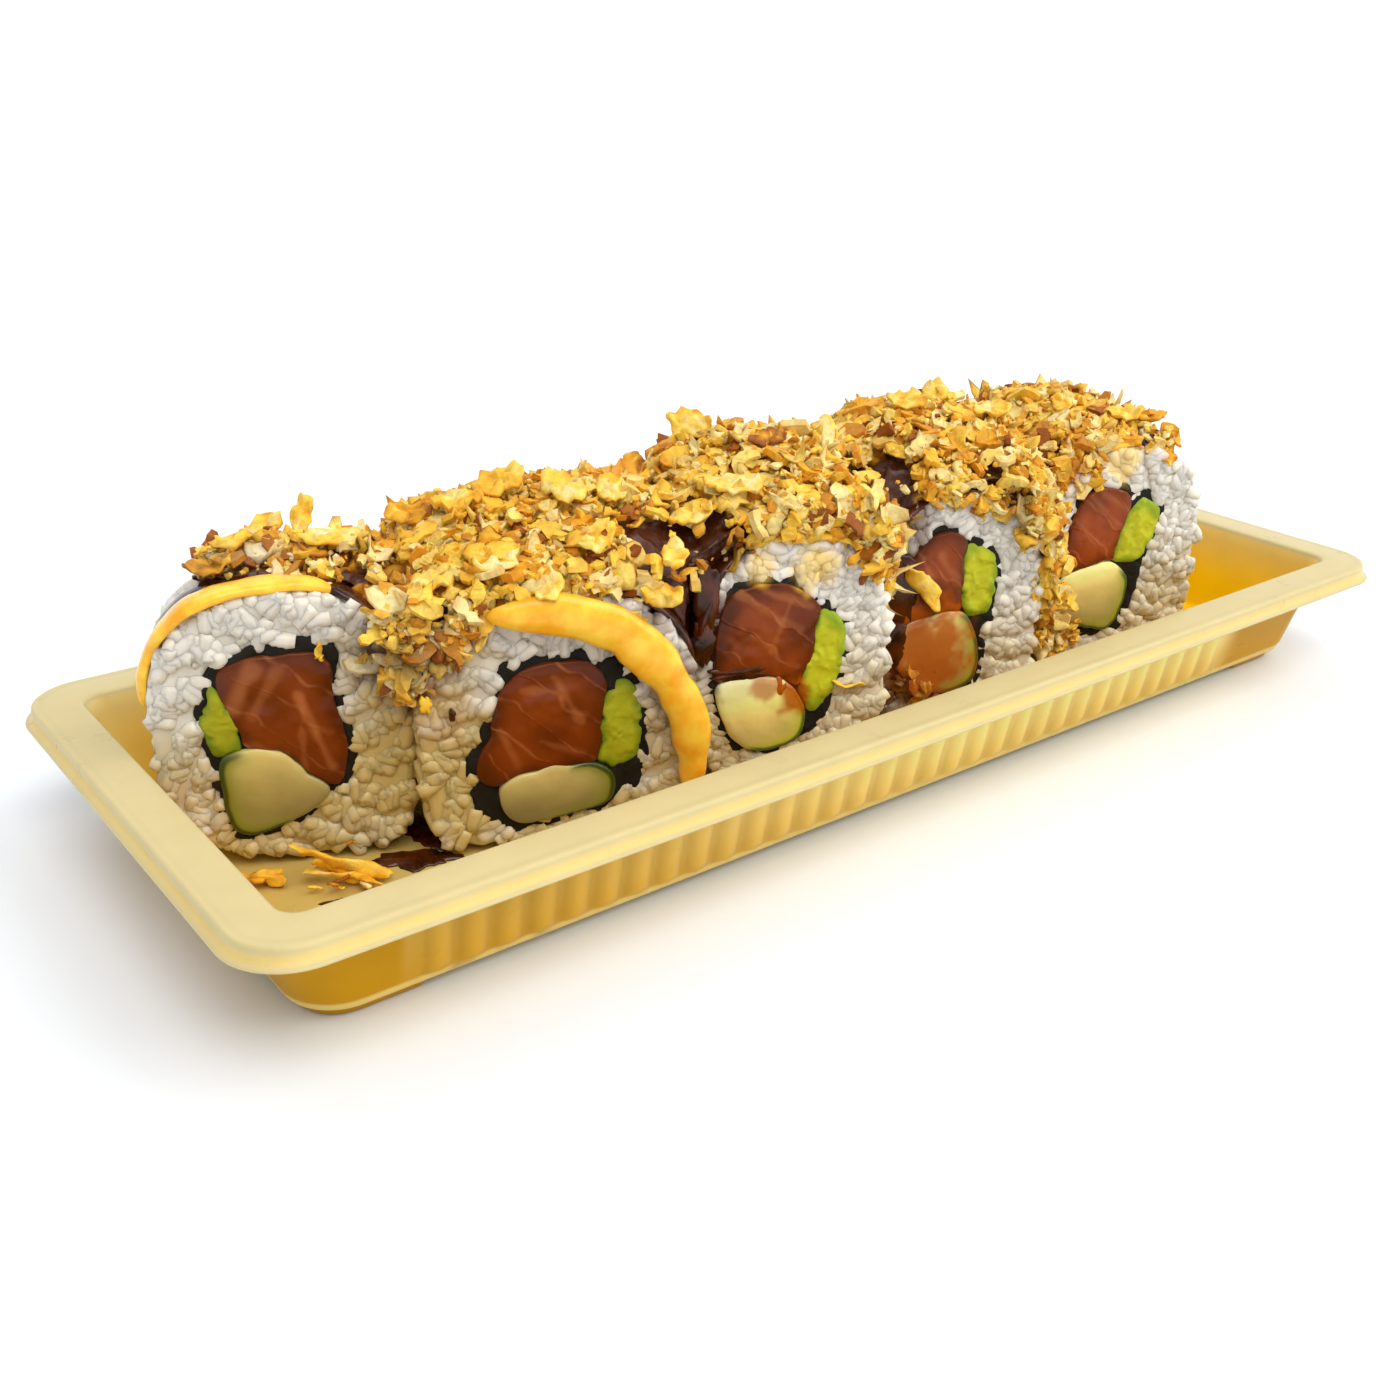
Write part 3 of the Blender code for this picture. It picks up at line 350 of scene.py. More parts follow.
class Graph:
    """A material with one Principled shader, whose sockets take numbers or wires."""

    def __init__(self, name, **constants):
        self.material = bpy.data.materials.new(name)
        self.material.use_nodes = True
        self.tree = self.material.node_tree
        self.surface = self.tree.nodes["Principled BSDF"]
        self.feed(**constants)

    def node(self, kind, settings=None, inputs=None, output=0):
        """A node of that type with its settings and the values or wires of its sockets, as a wire."""
        made = self.tree.nodes.new(kind)
        for key, value in (settings or {}).items():
            setattr(made, key, value)
        for key, value in (inputs or {}).items():
            self.join(made.inputs[key], value)
        return Wire(self, made.outputs[output])

    def join(self, socket, value):
        """Links a wire to a socket, or sets the socket's own value."""
        if isinstance(value, Wire):
            self.tree.links.new(value.socket, socket)
        elif hasattr(value, "__len__") and len(value) == 3 and socket.type == "RGBA":
            socket.default_value = (*value, 1.0)
        else:
            socket.default_value = value

    def feed(self, **sockets):
        """Sets or links the shader's own sockets, named with _ for each space."""
        for key, value in sockets.items():
            self.join(self.surface.inputs[key.replace("_", " ")], value)

    def maths(self, operation, first, second=0.0, clamp=False):
        """One Math node on two values."""
        return self.node("ShaderNodeMath", {"operation": operation, "use_clamp": clamp}, {0: first, 1: second})

    def between(self, value, low, high):
        """0 below low and 1 above high, with a straight line between."""
        return self.maths("ADD", (value - low) * (1.0 / (high - low)), 0.0, clamp=True)

    def blend(self, share, first, second, way="MIX"):
        """A colour between two."""
        return self.node("ShaderNodeMix", {"data_type": "RGBA", "blend_type": way, "clamp_factor": True},
                         {0: share, 6: first, 7: second}, 2)

    def speckle(self, scale, detail=3.0, roughness=0.55, vector=None):
        """Noise from 0 to 1 over the piece's own coordinates, or over a vector."""
        vector = vector or self.node("ShaderNodeTexCoord", output="Object")
        return self.node("ShaderNodeTexNoise", None, {"Vector": vector, "Scale": scale, "Detail": detail,
                                                      "Roughness": roughness})

    def attribute(self, name, output="Color"):
        """What a piece's mesh says at each point."""
        return self.node("ShaderNodeAttribute", {"attribute_name": name}, None, output)

    def bump(self, height, distance, strength=1.0):
        """Small relief from a height."""
        self.feed(Normal=self.node("ShaderNodeBump", None, {"Height": height, "Distance": distance,
                                                           "Strength": strength}))


def tinted(name, mottle=0.12, scale=900.0, **constants):
    """A material whose colour is the mesh's own tint, a little lighter and darker by noise."""
    graph = Graph(name, **constants)
    tint = graph.attribute("tint")
    fine = graph.speckle(scale)
    dark = graph.blend(1.0, tint, (1.0 - mottle * 2.2,) * 3, "MULTIPLY")
    graph.feed(Base_Color=graph.blend(graph.between(fine, 0.32, 0.62), dark, tint))
    return graph, tint, fine


def make_plastic():
    """Glossy moulded sheet: faint orange-peel relief under an even gloss."""
    graph, _, fine = tinted("moulded plastic", 0.02, 160.0, Coat_Weight=0.02, Coat_Roughness=0.12,
                            Specular_IOR_Level=0.1, Subsurface_Weight=0.08, Subsurface_Radius=(1.0, 0.6, 0.2), Subsurface_Scale=0.002)
    graph.feed(Roughness=graph.between(fine, 0.0, 1.0) * 0.1 + 0.24)
    graph.bump(graph.speckle(420.0, 2.0), 0.00006, 0.5)
    return graph.material


def make_rice_finish():
    """Cooked rice: slightly see-through grains with a moist sheen and shallow dents."""
    graph, _, fine = tinted("cooked rice", 0.03, 700.0, Subsurface_Weight=0.4, Subsurface_Scale=0.001,
                            Subsurface_Radius=(1.0, 0.9, 0.75), Coat_Weight=0.12, Coat_Roughness=0.2)
    graph.feed(Roughness=fine * 0.25 + 0.36 - graph.attribute("wet", "Fac") * 0.2)
    graph.bump(graph.speckle(1500.0, 2.0), 0.00008, 0.6)
    return graph.material


def make_filling_finish(name, roughness, detail, relief, **constants):
    """Wet soft food: its mesh's tint, broken up by noise, with low relief."""
    graph, _, fine = tinted(name, 0.05, detail, **constants)
    graph.feed(Roughness=fine * 0.2 + roughness - graph.attribute("wet", "Fac") * roughness * 0.5)
    graph.bump(graph.speckle(detail * 1.6, 4.0), relief, 0.7)
    return graph.material


def make_salmon_finish(looks):
    """Raw fish: thin wavy fat lines across the cut, where |sin| of the distorted place is near nothing."""
    graph, tint, fine = tinted("raw salmon", 0.1, 420.0, Subsurface_Weight=0.15, Subsurface_Scale=0.0012,
                               Subsurface_Radius=(1.0, 0.45, 0.15), Specular_IOR_Level=0.2, Coat_Weight=0.05,
                               Coat_Roughness=0.15)
    place_on_face = graph.node("ShaderNodeUVMap", {"uv_map": "face"})
    bend = graph.speckle(0.9, 2.0, vector=place_on_face)
    split = graph.node("ShaderNodeSeparateXYZ", None, {0: place_on_face})
    height = Wire(graph, split.socket.node.outputs[1])
    across = split * 0.62 + height * 0.78
    wave = graph.maths("ABSOLUTE", graph.maths("SINE", (across + bend * 0.8) * 7.4))
    line = 1.0 - graph.between(wave, 0.0, 0.26)
    patch = graph.between(graph.speckle(1.7, 3.0, vector=place_on_face), 0.42, 0.6)
    dry = 1.0 - graph.attribute("wet", "Fac")
    veins = line * patch * dry * 0.42
    deep = graph.between(graph.speckle(1.1, 4.0, vector=place_on_face), 0.4, 0.7)
    flesh = graph.blend(deep * 0.55, tint, graph.blend(1.0, tint, (0.55, 0.42, 0.35), "MULTIPLY"))
    graph.feed(Base_Color=graph.blend(veins, flesh, looks.fat_colour[:]))
    graph.feed(Roughness=fine * 0.12 + 0.24)
    graph.bump(line * 0.5 + fine, 0.00014, 0.7)
    return graph.material


def make_sauce_finish(name, colour, deep_colour, roughness, see_through):
    """Thick glossy sauce, a little darker in patches."""
    graph = Graph(name, Coat_Weight=0.18, Coat_Roughness=0.1, Specular_IOR_Level=0.3, Subsurface_Weight=see_through,
                  Subsurface_Scale=0.002, Subsurface_Radius=(1.0, 0.5, 0.15), Roughness=roughness)
    patches = graph.between(graph.speckle(260.0, 4.0), 0.38, 0.66)
    graph.feed(Base_Color=graph.blend(patches, colour, deep_colour))
    graph.bump(graph.speckle(380.0, 2.0), 0.00015, 0.4)
    return graph.material


def make_onion_finish():
    """Fried onion: dry blistered flakes with the colours of their own mesh, glossy where sauce wets them."""
    graph, tint, fine = tinted("fried onion", 0.11, 1100.0, Specular_IOR_Level=0.3, Subsurface_Weight=0.12, Subsurface_Scale=0.0008,
                               Subsurface_Radius=(1.0, 0.55, 0.2))
    graph.feed(Roughness=0.56 - graph.attribute("wet", "Fac") * 0.3)
    graph.feed(Coat_Weight=graph.attribute("wet", "Fac") * 0.12 + 0.03)
    graph.bump(graph.speckle(1400.0, 4.0, 0.65), 0.00022, 0.8)
    return graph.material


# Sauce that soaks into what it touches: roll, u, t, w, radius, kind and strength

SPOTS = (
    (3, -10.0, 0.0, 5.0, 6.5, "glaze", 0.97), (1, 18.5, 6.0, 30.0, 6.0, "glaze", 0.9),
    (3, -13.5, -0.6, 25.0, 6.0, "glaze", 0.97), (3, -13.0, -0.6, 15.0, 6.0, "glaze", 0.95),
    (2, -17.5, 1.0, 14.0, 6.5, "glaze", 0.9), (2, -17.0, 1.0, 25.0, 5.5, "glaze", 0.9),
    (0, -17.0, 4.0, 33.0, 4.0, "glaze", 0.55), (0, -10.0, 9.0, 38.5, 7.0, "glaze", 0.8),
    (0, 13.0, 1.0, 31.0, 7.5, "glaze", 0.85), (0, 12.5, 2.0, 24.0, 3.0, "oil", 0.5),
    (0, -16.0, 0.0, 9.0, 7.0, "oil", 0.06), (0, -4.0, 0.0, 0.0, 6.0, "oil", 0.12),
    (1, -18.5, 2.0, 30.0, 6.0, "glaze", 0.7), (1, -16.0, 1.0, 22.0, 6.0, "oil", 0.22),
    (1, -12.0, 0.0, 33.5, 3.5, "oil", 0.45), (1, 19.5, 3.0, 22.0, 8.0, "glaze", 0.9),
    (1, 14.0, 0.0, 33.0, 3.0, "glaze", 0.55),
    (2, -11.5, 1.0, 28.0, 7.0, "glaze", 0.95), (2, -7.0, 1.0, 38.0, 4.0, "glaze", 0.8),
    (2, -3.0, 0.0, 35.5, 3.0, "mayonnaise", 0.75), (2, 6.0, 0.0, 35.0, 4.0, "mayonnaise", 0.85),
    (2, -2.0, -0.6, 17.5, 3.0, "oil", 0.7), (2, 3.0, -0.6, 15.0, 3.2, "oil", 0.9),
    (3, -9.5, 1.0, 24.0, 9.0, "glaze", 0.95), (3, -6.0, 0.0, 36.0, 5.0, "glaze", 0.9),
    (3, -4.0, -0.6, 24.0, 6.0, "glaze", 0.6), (3, -2.0, -0.6, 14.0, 11.0, "oil", 0.9), (3, -8.0, -0.6, 8.0, 5.0, "glaze", 0.8),
    (3, 12.0, 1.0, 38.0, 4.5, "glaze", 0.8), (4, -8.0, 2.0, 38.0, 4.0, "oil", 0.5),
    (4, 2.0, 0.0, 38.0, 4.0, "mayonnaise", 0.75),
)


# Thin sauce that has soaked into the rice: roll, u, t, w, radius and strength
STAINS = (
    (0, 11.0, 0.0, 12.0, 15.0, 0.95), (0, 12.0, 0.0, 27.0, 9.0, 0.6), (1, -16.0, 0.0, 12.0, 15.0, 0.95),
    (1, -16.0, 0.0, 27.0, 8.0, 0.5), (0, -4.0, 0.0, 2.0, 12.0, 0.8), (1, 2.0, 0.0, 1.0, 15.0, 0.8),
    (0, -17.0, 0.0, 14.0, 8.0, 0.45), (1, 17.0, 0.0, 14.0, 10.0, 0.6), (2, 12.0, 0.0, 8.0, 14.0, 0.45),
    (2, -10.0, 0.0, 10.0, 9.0, 0.7), (3, -10.0, 0.0, 12.0, 9.0, 0.8), (3, 14.0, 0.0, 8.0, 12.0, 0.35),
    (4, -9.0, 0.0, 14.0, 10.0, 0.6), (4, 16.0, 4.0, 8.0, 16.0, 0.5),
)


def stained(points, tint, looks):
    """Rice colours drawn towards the stain's, by smoothstep of the distance with uneven edges."""
    edge = noise(points, 3.0 * MM, 17) * 0.35
    for number, u, t, w, radius, strength in STAINS:
        away = np.linalg.norm(points - place(ROLLS[number], u, t, w), axis=-1) / (radius * MM)
        tint = mixed(tint, np.array(looks.stain_colour[:]), (1.0 - smoothstep(0.4, 1.15, away + edge)) * strength)
    return tint


def soaked(points, tint, wet, looks, share=1.0, seed=3):
    """Mixes each sauce into the colours round its spot, by smoothstep of the distance with uneven edges."""
    kinds = {"glaze": looks.glaze_colour, "oil": looks.oil_colour, "mayonnaise": looks.mayonnaise_colour}
    edge = noise(points, 2.2 * MM, seed) * 0.3 + noise(points, 0.9 * MM, seed + 5) * 0.15
    for number, u, t, w, radius, kind, strength in SPOTS:
        middle = place(ROLLS[number], u, t, w)
        away = np.linalg.norm(points - middle, axis=-1) / (radius * MM)
        part = (1.0 - smoothstep(0.45, 1.1, away + edge)) * strength * share
        tint = mixed(tint, np.array(kinds[kind][:]), part)
        wet = np.maximum(wet, part)
    return tint, wet


# Outlines on a cut face

def rice_radius(roll, pole, angles):
    """How far the roll's outline lies from the pole at each angle, by halving along each ray: the outline is
    where |u|^n + |w|^n = 1 in half sizes from its middle, with n rounder on top than below."""
    middle = np.array([(roll.left + roll.right) / 2.0, roll.height / 2.0])
    half = np.array([(roll.right - roll.left) / 2.0, roll.height / 2.0])
    unit = np.stack([np.cos(angles), np.sin(angles)], axis=-1)
    low = np.zeros(len(angles))
    high = np.full(len(angles), 80.0)
    for _ in range(30):
        reach = (low + high) / 2.0
        spot = (pole + unit * reach[:, None] - middle) / half
        below = np.where(spot[:, 0] < 0.0, roll.flatness[0], roll.flatness[1])
        power = np.where(spot[:, 1] > 0.0, ROUND_TOP, below)
        inside = np.sum(np.abs(spot) ** power[:, None], axis=1) < 1.0
        low, high = np.where(inside, reach, low), np.where(inside, high, reach)
    return low


def face_of(node, roll, count):
    """The outline of a CAD solid's front face as a pole and a radius for each of count even angles, read
    from its own points and rounded by a moving average."""
    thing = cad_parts[node]
    points = np.empty(len(thing.data.vertices) * 3)
    thing.data.vertices.foreach_get("co", points)
    u, t, w = within(roll, points.reshape(-1, 3))
    front = t < t.min() + 0.05
    flat = np.stack([u[front], w[front]], axis=1)
    flat = np.unique(np.round(flat, 3), axis=0)
    pole = (flat.min(axis=0) + flat.max(axis=0)) / 2.0
    turns = np.arctan2(flat[:, 1] - pole[1], flat[:, 0] - pole[0])
    reach = np.linalg.norm(flat - pole, axis=1)
    if node.startswith("nori"):
        # Only the outer loop counts: the farthest point in each small wedge.
        wedge = np.round(turns / (2.0 * math.pi) * 40.0)
        keep = np.array([reach[index] >= reach[wedge == wedge[index]].max() - 0.3 for index in range(len(turns))])
        turns, reach = turns[keep], reach[keep]
    order = np.argsort(turns)
    angles = np.linspace(-math.pi, math.pi, count, endpoint=False)
    radius = np.interp(angles, turns[order], reach[order], period=2.0 * math.pi)
    for _ in range(3):
        radius = (np.roll(radius, 1) + 2.0 * radius + np.roll(radius, -1)) / 4.0
    return pole, angles, radius, float(t.min()), float(t.max())


def ragged(radius, amount, seed):
    """A radius with uneven edges: noise round the circle, coarse and fine."""
    angles = np.linspace(0.0, 2.0 * math.pi, len(radius), endpoint=False)
    circle = np.stack([np.cos(angles), np.sin(angles), np.full(len(radius), seed * 3.7)], axis=-1)
    return radius + amount * (noise(circle, 0.5, seed) + 0.6 * noise(circle, 0.17, seed + 9))


CAP_SHARES = np.concatenate([np.linspace(0.03, 0.9, 30), [0.925, 0.95, 0.97, 0.985, 1.0]])


def plug(roll, pole, angles, radius, front, back, edge, dome):
    """A filling run through the roll. Rings of radius times share make its rounded front and back, whose
    edge drops by a quarter circle, and straight rings join them. Returns the rings, u, w and each share."""
    share = np.concatenate([CAP_SHARES, np.ones(9), CAP_SHARES[::-1]])
    rim = np.clip((CAP_SHARES - 0.8) / 0.2, 0.0, 1.0)
    drop = edge * (1.0 - np.sqrt(np.maximum(0.0, 1.0 - rim ** 2))) - dome * (1.0 - CAP_SHARES ** 2)
    body = np.linspace(front + edge, back - edge, 11)[1:-1]
    depth = np.concatenate([front + drop, body, (back - drop)[::-1]])
    u = pole[0] + np.cos(angles)[None, :] * radius[None, :] * share[:, None]
    w = pole[1] + np.sin(angles)[None, :] * radius[None, :] * share[:, None]
    t = np.broadcast_to(depth[:, None], u.shape)
    return place(roll, u, t, w), u, w, np.broadcast_to(share[:, None], u.shape)


def make_fillings(looks, sauces):
    """Salmon, avocado, cucumber and nori of every roll, each in the place of its CAD solid."""
    finish = {
        "salmon": make_salmon_finish(looks),
        "avocado": make_filling_finish("ripe avocado", 0.42, 420.0, 0.00025, Subsurface_Weight=0.2, Specular_IOR_Level=0.25,
                                       Subsurface_Radius=(0.8, 1.0, 0.3), Subsurface_Scale=0.0012),
        "cucumber": make_filling_finish("cucumber", 0.26, 220.0, 0.0001, Subsurface_Weight=0.35, Coat_Weight=0.15,
                                        Subsurface_Radius=(0.9, 1.0, 0.5), Subsurface_Scale=0.002),
        "nori": make_filling_finish("damp nori", 0.62, 600.0, 0.0003, Specular_IOR_Level=0.25),
    }
    count = 128
    for number, roll in enumerate(ROLLS, 1):
        for kind in ("nori", "salmon", "avocado", "cucumber"):
            node = "%s_%d" % (kind, number)
            pole, angles, radius, front, back = face_of(node, roll, count)
            seed = number * 10 + len(kind)
            uneven = {"nori": 0.25, "salmon": 0.12, "avocado": 0.35, "cucumber": 0.05}[kind]
            radius = ragged(radius, uneven, seed)
            edge = {"nori": 0.5, "salmon": 0.35, "avocado": 0.6, "cucumber": 0.4}[kind]
            dome = {"nori": -0.2, "salmon": 0.1, "avocado": 0.1, "cucumber": 0.25}[kind]
            back = back - 1.2 if kind == "nori" else back
            rings, u, w, share = plug(roll, pole, angles, radius, front + 0.1, back, edge, dome)
            amount = {"nori": 0.4, "salmon": 0.16, "avocado": 0.3, "cucumber": 0.06}[kind] * MM
            rough_size = {"nori": 1.7, "salmon": 2.6, "avocado": 1.8, "cucumber": 2.0}[kind] * MM
            rings = rings + wobble(rings, rough_size, amount, seed) + wobble(rings, rough_size * 0.4, amount * 0.4, seed)
            points, faces = loft(rings)
            tint = filling_tint(kind, roll, looks, u, w, share, angles, rings, seed)
            # Each roll's filling made lighter or darker as painted light and shade.
            tint = np.clip(tint * PAINTED_LIGHT_TONES[kind][number - 1], 0.0, 0.95)
            if kind == "salmon":
                tint = streaked(number - 1, u, w, tint, looks, rings)
            rows = len(rings)
            wet = np.full(rings.shape[:2], 0.15)
            tint, wet = soaked(rings, tint, wet, sauces, 0.5 if kind == "nori" else 1.0)
            uv = np.stack([u, w], axis=-1) / 10.0
            add_piece(kind + "_run_%d" % number, points, faces, finish[kind], with_ends(tint, rows),
                      with_ends(wet, rows), with_ends(uv, rows), replaces=[node])


# Pale streaks on the fish: the roll, two places on the photograph, the width in millimetres and strength
STREAKS = (
    (0, (232, 708), (252, 668), 1.6, 0.5), (0, (252, 712), (278, 668), 1.1, 0.35), (0, (300, 696), (332, 764), 1.1, 0.6),
    (0, (306, 780), (300, 700), 0.7, 0.3), (0, (236, 744), (286, 752), 0.8, 0.25), (1, (552, 676), (582, 720), 0.9, 0.5),
    (1, (520, 690), (556, 690), 0.7, 0.35), (1, (500, 730), (520, 770), 0.6, 0.3), (1, (540, 740), (584, 752), 0.6, 0.25),
    (2, (738, 594), (800, 628), 0.8, 0.4), (2, (730, 618), (772, 650), 0.7, 0.35), (2, (764, 590), (812, 606), 0.8, 0.4),
    (2, (790, 600), (770, 650), 0.6, 0.3), (3, (922, 560), (952, 616), 0.8, 0.4), (3, (940, 556), (960, 590), 1.0, 0.4),
    (4, (1090, 496), (1124, 530), 1.0, 0.4), (4, (1074, 520), (1104, 548), 0.8, 0.3), (4, (1104, 494), (1130, 512), 1.4, 0.35),
)


def streaked(number, u, w, tint, looks, rings):
    """Fish colours with the pale streaks of that roll, each fading with the distance from its line."""
    bend = 0.6 * noise(rings, 2.5 * MM, 23)
    for roll_number, first, last, width, strength in STREAKS:
        if roll_number != number:
            continue
        start = np.array(on_face(ROLLS[number], *first))
        run = np.array(on_face(ROLLS[number], *last)) - start
        off = np.stack([u, w], axis=-1) - start
        part = np.clip(off @ run / (run @ run), 0.0, 1.0)
        away = np.linalg.norm(off - part[..., None] * run, axis=-1) + bend
        fade = np.clip(1.2 - 0.5 * part, 0.0, 1.0) * strength
        tint = mixed(tint, np.array(looks.fat_colour[:]), (1.0 - smoothstep(0.0, width, away)) * fade * 0.75)
    return tint


# How light each roll's filling is beside the others: painted light and shade, since the same filling is lit more or
# less in each roll
PAINTED_LIGHT_TONES = {"salmon": (0.76, 0.84, 0.9, 0.9, 1.2), "avocado": (1.0, 1.1, 1.65, 1.5, 1.6),
         "cucumber": (0.62, 0.6, 1.5, 1.0, 1.05), "nori": (1.0, 1.0, 1.0, 1.0, 1.0)}


def filling_tint(kind, roll, looks, u, w, share, angles, rings, seed):
    """Colours of a filling: patches by noise, and a green edge on avocado and the cucumber's skin side, with painted
    shade on the salmon's edge and on the cucumber's lower part and a painted highlight on the cucumber's top.
    """
    patches = 0.5 + 0.5 * noise(rings, 4.0 * MM, seed)
    if kind == "salmon":
        base = np.array(looks.salmon_colour[:])
        flesh = mixed(base * 0.62, base * np.array([1.3, 1.4, 1.3]), patches)
        # Painted shade: the fish darker towards its edge by the nori.
        return flesh * (1.0 - 0.45 * smoothstep(0.6, 1.0, share))[..., None]
    if kind == "avocado":
        flesh = mixed(np.array(looks.avocado_colour[:]) * 0.9, np.array(looks.avocado_colour[:]) * 1.1, patches)
        green = smoothstep(0.55, 1.0, share + 0.2 * noise(rings, 1.5 * MM, seed + 1)) * 0.8
        return mixed(flesh, np.array(looks.avocado_rim_colour[:]), green)
    if kind == "cucumber":
        base = np.array(looks.cucumber_colour[:])
        flesh = mixed(base * 0.97, base * 1.05, patches)
        # Painted highlight and shade: the flesh lighter towards its top and darker towards its bottom.
        rise = (w - w.min()) / (w.max() - w.min())
        flesh = flesh * (0.62 + 1.05 * smoothstep(0.2, 1.0, rise))[..., None]
        heart = 1.0 - smoothstep(0.15, 0.75, share)
        flesh = mixed(flesh, base * np.array([0.94, 0.97, 0.8]), heart * 0.4)
        turn = np.cos(angles - math.radians(roll.skin_turn))[None, :]
        side = smoothstep(0.0, 0.45, turn + 0.1 * noise(rings, 2.0 * MM, seed))
        wide = smoothstep(-0.5, 0.9, turn) * smoothstep(0.25, 0.95, share)
        flesh = mixed(flesh, np.array([0.62, 0.78, 0.3]) * base, wide * 0.75)
        green = np.array([0.5, 0.68, 0.16]) * base
        flesh = mixed(flesh, green, side * smoothstep(0.68, 0.95, share))
        return mixed(flesh, np.array(looks.skin_colour[:]), side * smoothstep(0.86, 0.93, share))
    base = np.array(looks.nori_colour[:])
    return mixed(base * 0.6, base * np.array([1.6, 1.7, 1.1]), patches)


# Scattered food: many copies of a few small shapes, as whole arrays

def turned(normals, rng, tilt):
    """For each piece three axes as a matrix: up is the normal leaned by a random tilt in radians, and the
    other two lie across it at a random turn."""
    lean = rng.normal(size=normals.shape)
    up = normals + np.tan(np.clip(tilt, 0.0, 1.4))[:, None] * (
        lean / np.linalg.norm(lean, axis=1)[:, None])
    up /= np.linalg.norm(up, axis=1)[:, None]
    along = np.cross(up, rng.normal(size=normals.shape))
    along /= np.linalg.norm(along, axis=1)[:, None]
    return np.stack([along, np.cross(up, along), up], axis=-1)


def copies(shapes, faces, picks, sizes, axes, spots):
    """Points of each picked shape, stretched by its sizes, turned by its axes and moved to its spot."""
    stretched = shapes[picks] * sizes[:, None, :]
    points = np.einsum("cij,cnj->cni", axes, stretched) + spots[:, None, :]
    step = shapes.shape[1]
    starts = (np.arange(len(picks)) * step)[:, None, None]
    return points, [(group[None] + starts).reshape(-1, group.shape[1]) for group in faces]


def grain_shapes(rng, kinds=12):
    """Cooked grains: spheres of 8 by 5 points with flat-ended lengths and a slight bend, as unit shapes."""
    across, along = 8, 5
    angles = np.linspace(0.0, 2.0 * math.pi, across, endpoint=False)
    rows = np.linspace(-1.0, 1.0, along + 2)[1:-1]
    fat = (1.0 - np.abs(rows) ** 2.6) ** 0.45
    shapes = []
    for _ in range(kinds):
        bend = rng.uniform(-0.12, 0.12)
        x = np.broadcast_to(rows[:, None] * 0.52, (along, across))
        y = fat[:, None] * np.cos(angles)[None, :] * 0.5 + bend * (1.0 - rows[:, None] ** 2)
        z = fat[:, None] * np.sin(angles)[None, :] * 0.5
        rings = np.stack([x, y + np.zeros_like(x), z + np.zeros_like(x)], axis=-1)
        shapes.append(rings + rng.uniform(-0.014, 0.014, rings.shape))
    faces = loft(shapes[0])[1]
    return np.stack([loft(rings)[0] for rings in shapes]), faces


def flake_shapes(rng, kinds=40):
    """Thin curled flakes: rings of 9 points above and below a shared uneven edge, bent along one line by
    x^2 and lifted at the rim by waves."""
    angles = np.linspace(0.0, 2.0 * math.pi, 9, endpoint=False)
    shapes = []
    for _ in range(kinds):
        reach = 0.92 + 0.12 * np.sin(2.0 * angles + rng.uniform(0.0, 6.28)) + rng.uniform(-0.12, 0.08, 9)
        heading, phase = rng.uniform(0.0, 6.28, 2)
        cup, ruffle = rng.uniform(-0.6, 1.6), rng.uniform(0.06, 0.2)
        narrow = rng.uniform(0.4, 1.0)
        crumple = rng.uniform(-0.07, 0.07, (3, 9))
        rings = []
        for level, share, side in ((0, 0.45, 1.0), (1, 0.8, 0.9), (2, 1.0, 0.0), (1, 0.8, -0.9), (0, 0.45, -1.0)):
            x = np.cos(angles) * reach * share * 0.5
            y = np.sin(angles) * reach * share * 0.5 * narrow
            bend = x * math.cos(heading) + y * math.sin(heading)
            z = cup * bend ** 2 * 1.8 + ruffle * share ** 2 * np.sin(3.0 * angles + phase) + crumple[level]
            rings.append(np.stack([x, y, z + side * 0.06], axis=-1))
        shapes.append(np.array(rings))
    faces = loft(shapes[0])[1]
    return np.stack([loft(rings)[0] for rings in shapes]), faces


def strip_shapes(rng, kinds=28):
    """Thin curled strips: 7 flat sections along an arc whose turn, twist and width change by noise."""
    sections = 7
    along = np.linspace(-1.0, 1.0, sections)
    corners = np.array([[-1.0, 0.35], [1.0, 0.5], [1.0, -0.35], [-1.0, -0.5]])
    shapes = []
    for _ in range(kinds):
        turn = rng.uniform(-2.3, 2.3) * along + rng.uniform(-0.8, 0.8) * along ** 2
        climb = rng.uniform(-0.9, 0.9) * along
        steps = np.stack([np.cos(turn), np.sin(turn), np.sin(climb)], axis=-1) / sections
        middle = np.cumsum(steps, axis=0)
        middle -= middle.mean(axis=0)
        side = np.stack([-np.sin(turn), np.cos(turn), np.zeros(sections)], axis=-1)
        twist = rng.uniform(-1.0, 1.0) * along
        width = (1.0 - 0.55 * along ** 4) * rng.uniform(0.5, 1.4, sections) * 0.5
        rings = []
        for across, up in corners:
            a = across * np.cos(twist) - up * np.sin(twist) * 0.6
            b = across * np.sin(twist) * 0.6 + up * np.cos(twist)
            rings.append(middle * [1.0, 1.0, 0.35] + side * (a * width * 0.3)[:, None] + (b * 0.16)[:, None] * [0, 0, 1])
        shapes.append(np.stack(rings, axis=1))
    faces = loft(shapes[0])[1]
    return np.stack([loft(rings)[0] for rings in shapes]), faces


